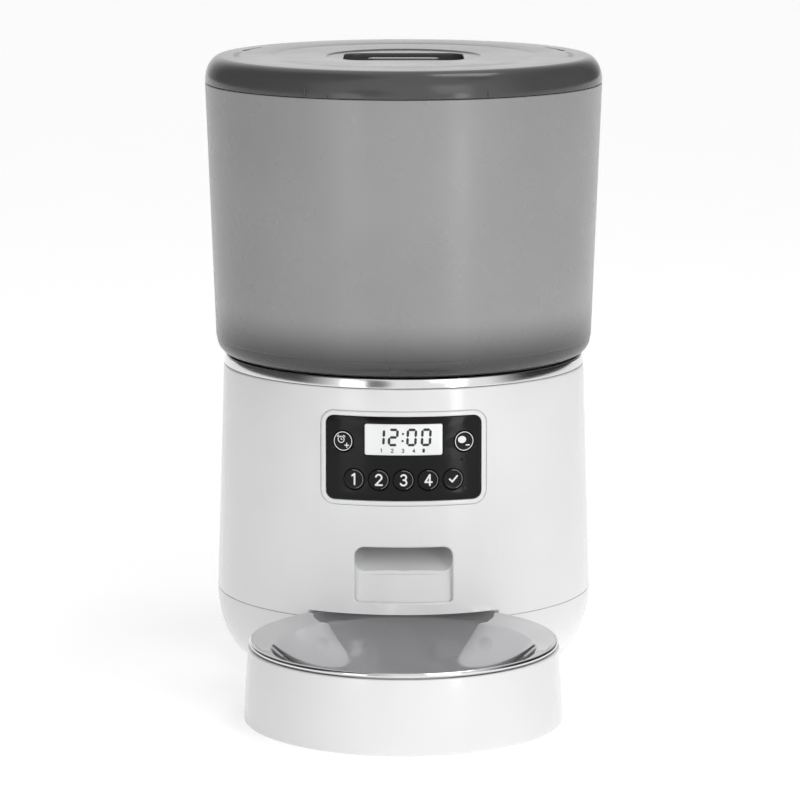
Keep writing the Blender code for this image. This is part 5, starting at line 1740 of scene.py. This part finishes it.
# %% The floor
floor_mesh = bpy.data.meshes.new("floor")
reach = 12.0
corners = [(-reach, -reach, 0), (reach, -reach, 0), (reach, reach, 0), (-reach, reach, 0)]
floor_mesh.from_pydata(corners, [], [(0, 1, 2, 3)])
floor = bpy.data.objects.new("floor", floor_mesh)
bpy.context.scene.collection.objects.link(floor)
FLOOR = plastic("pale_floor", (0.90, 0.90, 0.90), (0.91, 0.91, 0.91), (0.6, 0.65), 300, 0.00001)
floor_shader = FLOOR.node_tree.nodes["Principled BSDF"]
floor_shader.inputs["Specular IOR Level"].default_value = 0.1
floor_shader.inputs["Emission Color"].default_value = (1.0, 1.0, 1.0, 1.0)
floor_shader.inputs["Emission Strength"].default_value = 0.42
floor_mesh.materials.append(FLOOR)


# %% Lights
def soft_light(name, place, target, size, power, size_y=None):
    """A rectangular area light at a place, turned so that it looks at a target."""
    light = bpy.data.lights.new(name, "AREA")
    light.shape = "RECTANGLE"
    light.size, light.size_y = size, size_y or size
    light.energy = power
    holder = bpy.data.objects.new(name, light)
    holder.location = place
    way = np.array(target, float) - np.array(place, float)
    flat = math.hypot(way[0], way[1])
    holder.rotation_euler = (math.atan2(flat, -way[2]), 0.0, math.atan2(way[1], way[0]) - math.pi / 2)
    bpy.context.scene.collection.objects.link(holder)
    return holder


aim = (0.0, 0.0, 0.16)
soft_light("key", (0.95, -1.7, 1.0), aim, 0.8, 3.8, 1.0)
soft_light("top", (0.45, 0.1, 1.6), aim, 0.5, 3)
soft_light("right_strip", (0.56, -0.84, 0.14), aim, 0.14, 0.9, 0.5)
soft_light("left_strip", (-0.55, -0.88, 0.14), aim, 0.3, 0.6, 0.5)

# %% [markdown]
# ### The room
# The room is worked out from the direction one looks in. It is white all round, with soft dark
# patches: one far back on each side, which darkens the hopper's edges, two overhead, which the
# polished bowl needs for contrast, and one in front, which the ring mirrors. Each patch is the
# cosine between the direction and the patch's middle, pushed through a smooth step.

# %% The room
world = bpy.data.worlds.new("room")
bpy.context.scene.world = world
world.use_nodes = True
nodes, links = world.node_tree.nodes, world.node_tree.links
background = nodes["Background"]
place = nodes.new("ShaderNodeTexCoord")


def patch(towards, inner, outer, depth):
    """1 outside a cone about a direction, 1 - depth inside it; the angles are in degrees."""
    towards = np.array(towards, float) / np.linalg.norm(towards)
    cosine = nodes.new("ShaderNodeVectorMath")
    cosine.operation = "DOT_PRODUCT"
    cosine.inputs[1].default_value = tuple(towards)
    links.new(place.outputs["Generated"], cosine.inputs[0])
    fade = nodes.new("ShaderNodeMapRange")
    fade.interpolation_type = "SMOOTHSTEP"
    fade.inputs["From Min"].default_value = math.cos(math.radians(outer))
    fade.inputs["From Max"].default_value = math.cos(math.radians(inner))
    fade.inputs["To Min"].default_value = 1.0
    fade.inputs["To Max"].default_value = 1.0 - depth
    links.new(cosine.outputs["Value"], fade.inputs["Value"])
    return fade.outputs["Result"]


ROOM = [
    patch((-0.94, 0.20, 0.12), 28, 66, 0.93),
    patch((0.90, 0.40, 0.12), 26, 62, 0.97),
    patch((-0.66, -0.10, 1.0), 14, 32, 0.97),
    patch((0.62, -0.35, 1.0), 4, 11, 0.85),
    patch((-0.34, -0.94, 0.12), 4, 15, 0.8),
]
level = ROOM[0]
for part in ROOM[1:]:
    product = nodes.new("ShaderNodeMath")
    product.operation = "MULTIPLY"
    links.new(level, product.inputs[0])
    links.new(part, product.inputs[1])
    level = product.outputs["Value"]
brightness = nodes.new("ShaderNodeMath")
brightness.operation = "MULTIPLY"
brightness.inputs[1].default_value = 0.95
links.new(level, brightness.inputs[0])
links.new(brightness.outputs["Value"], background.inputs["Strength"])
background.inputs["Color"].default_value = (1.0, 1.0, 1.0, 1.0)
bpy.context.scene.view_settings.view_transform = "Standard"

# %% [markdown]
# ## The camera
# A long lens from about two metres away, a little above the feeder and looking slightly down, keeps
# the outline almost free of perspective.

# %% The camera
camera = bpy.data.cameras.new("camera")
camera.lens = 189.0
camera.sensor_width = 36.0
camera.shift_x = -0.0045
camera_holder = bpy.data.objects.new("camera", camera)
camera_holder.location = (0.0, BODY_AXIS[1] - 2.109, 0.4915)
camera_holder.rotation_euler = (math.radians(90 - 9.69), 0.0, 0.0)
bpy.context.scene.collection.objects.link(camera_holder)
bpy.context.scene.camera = camera_holder
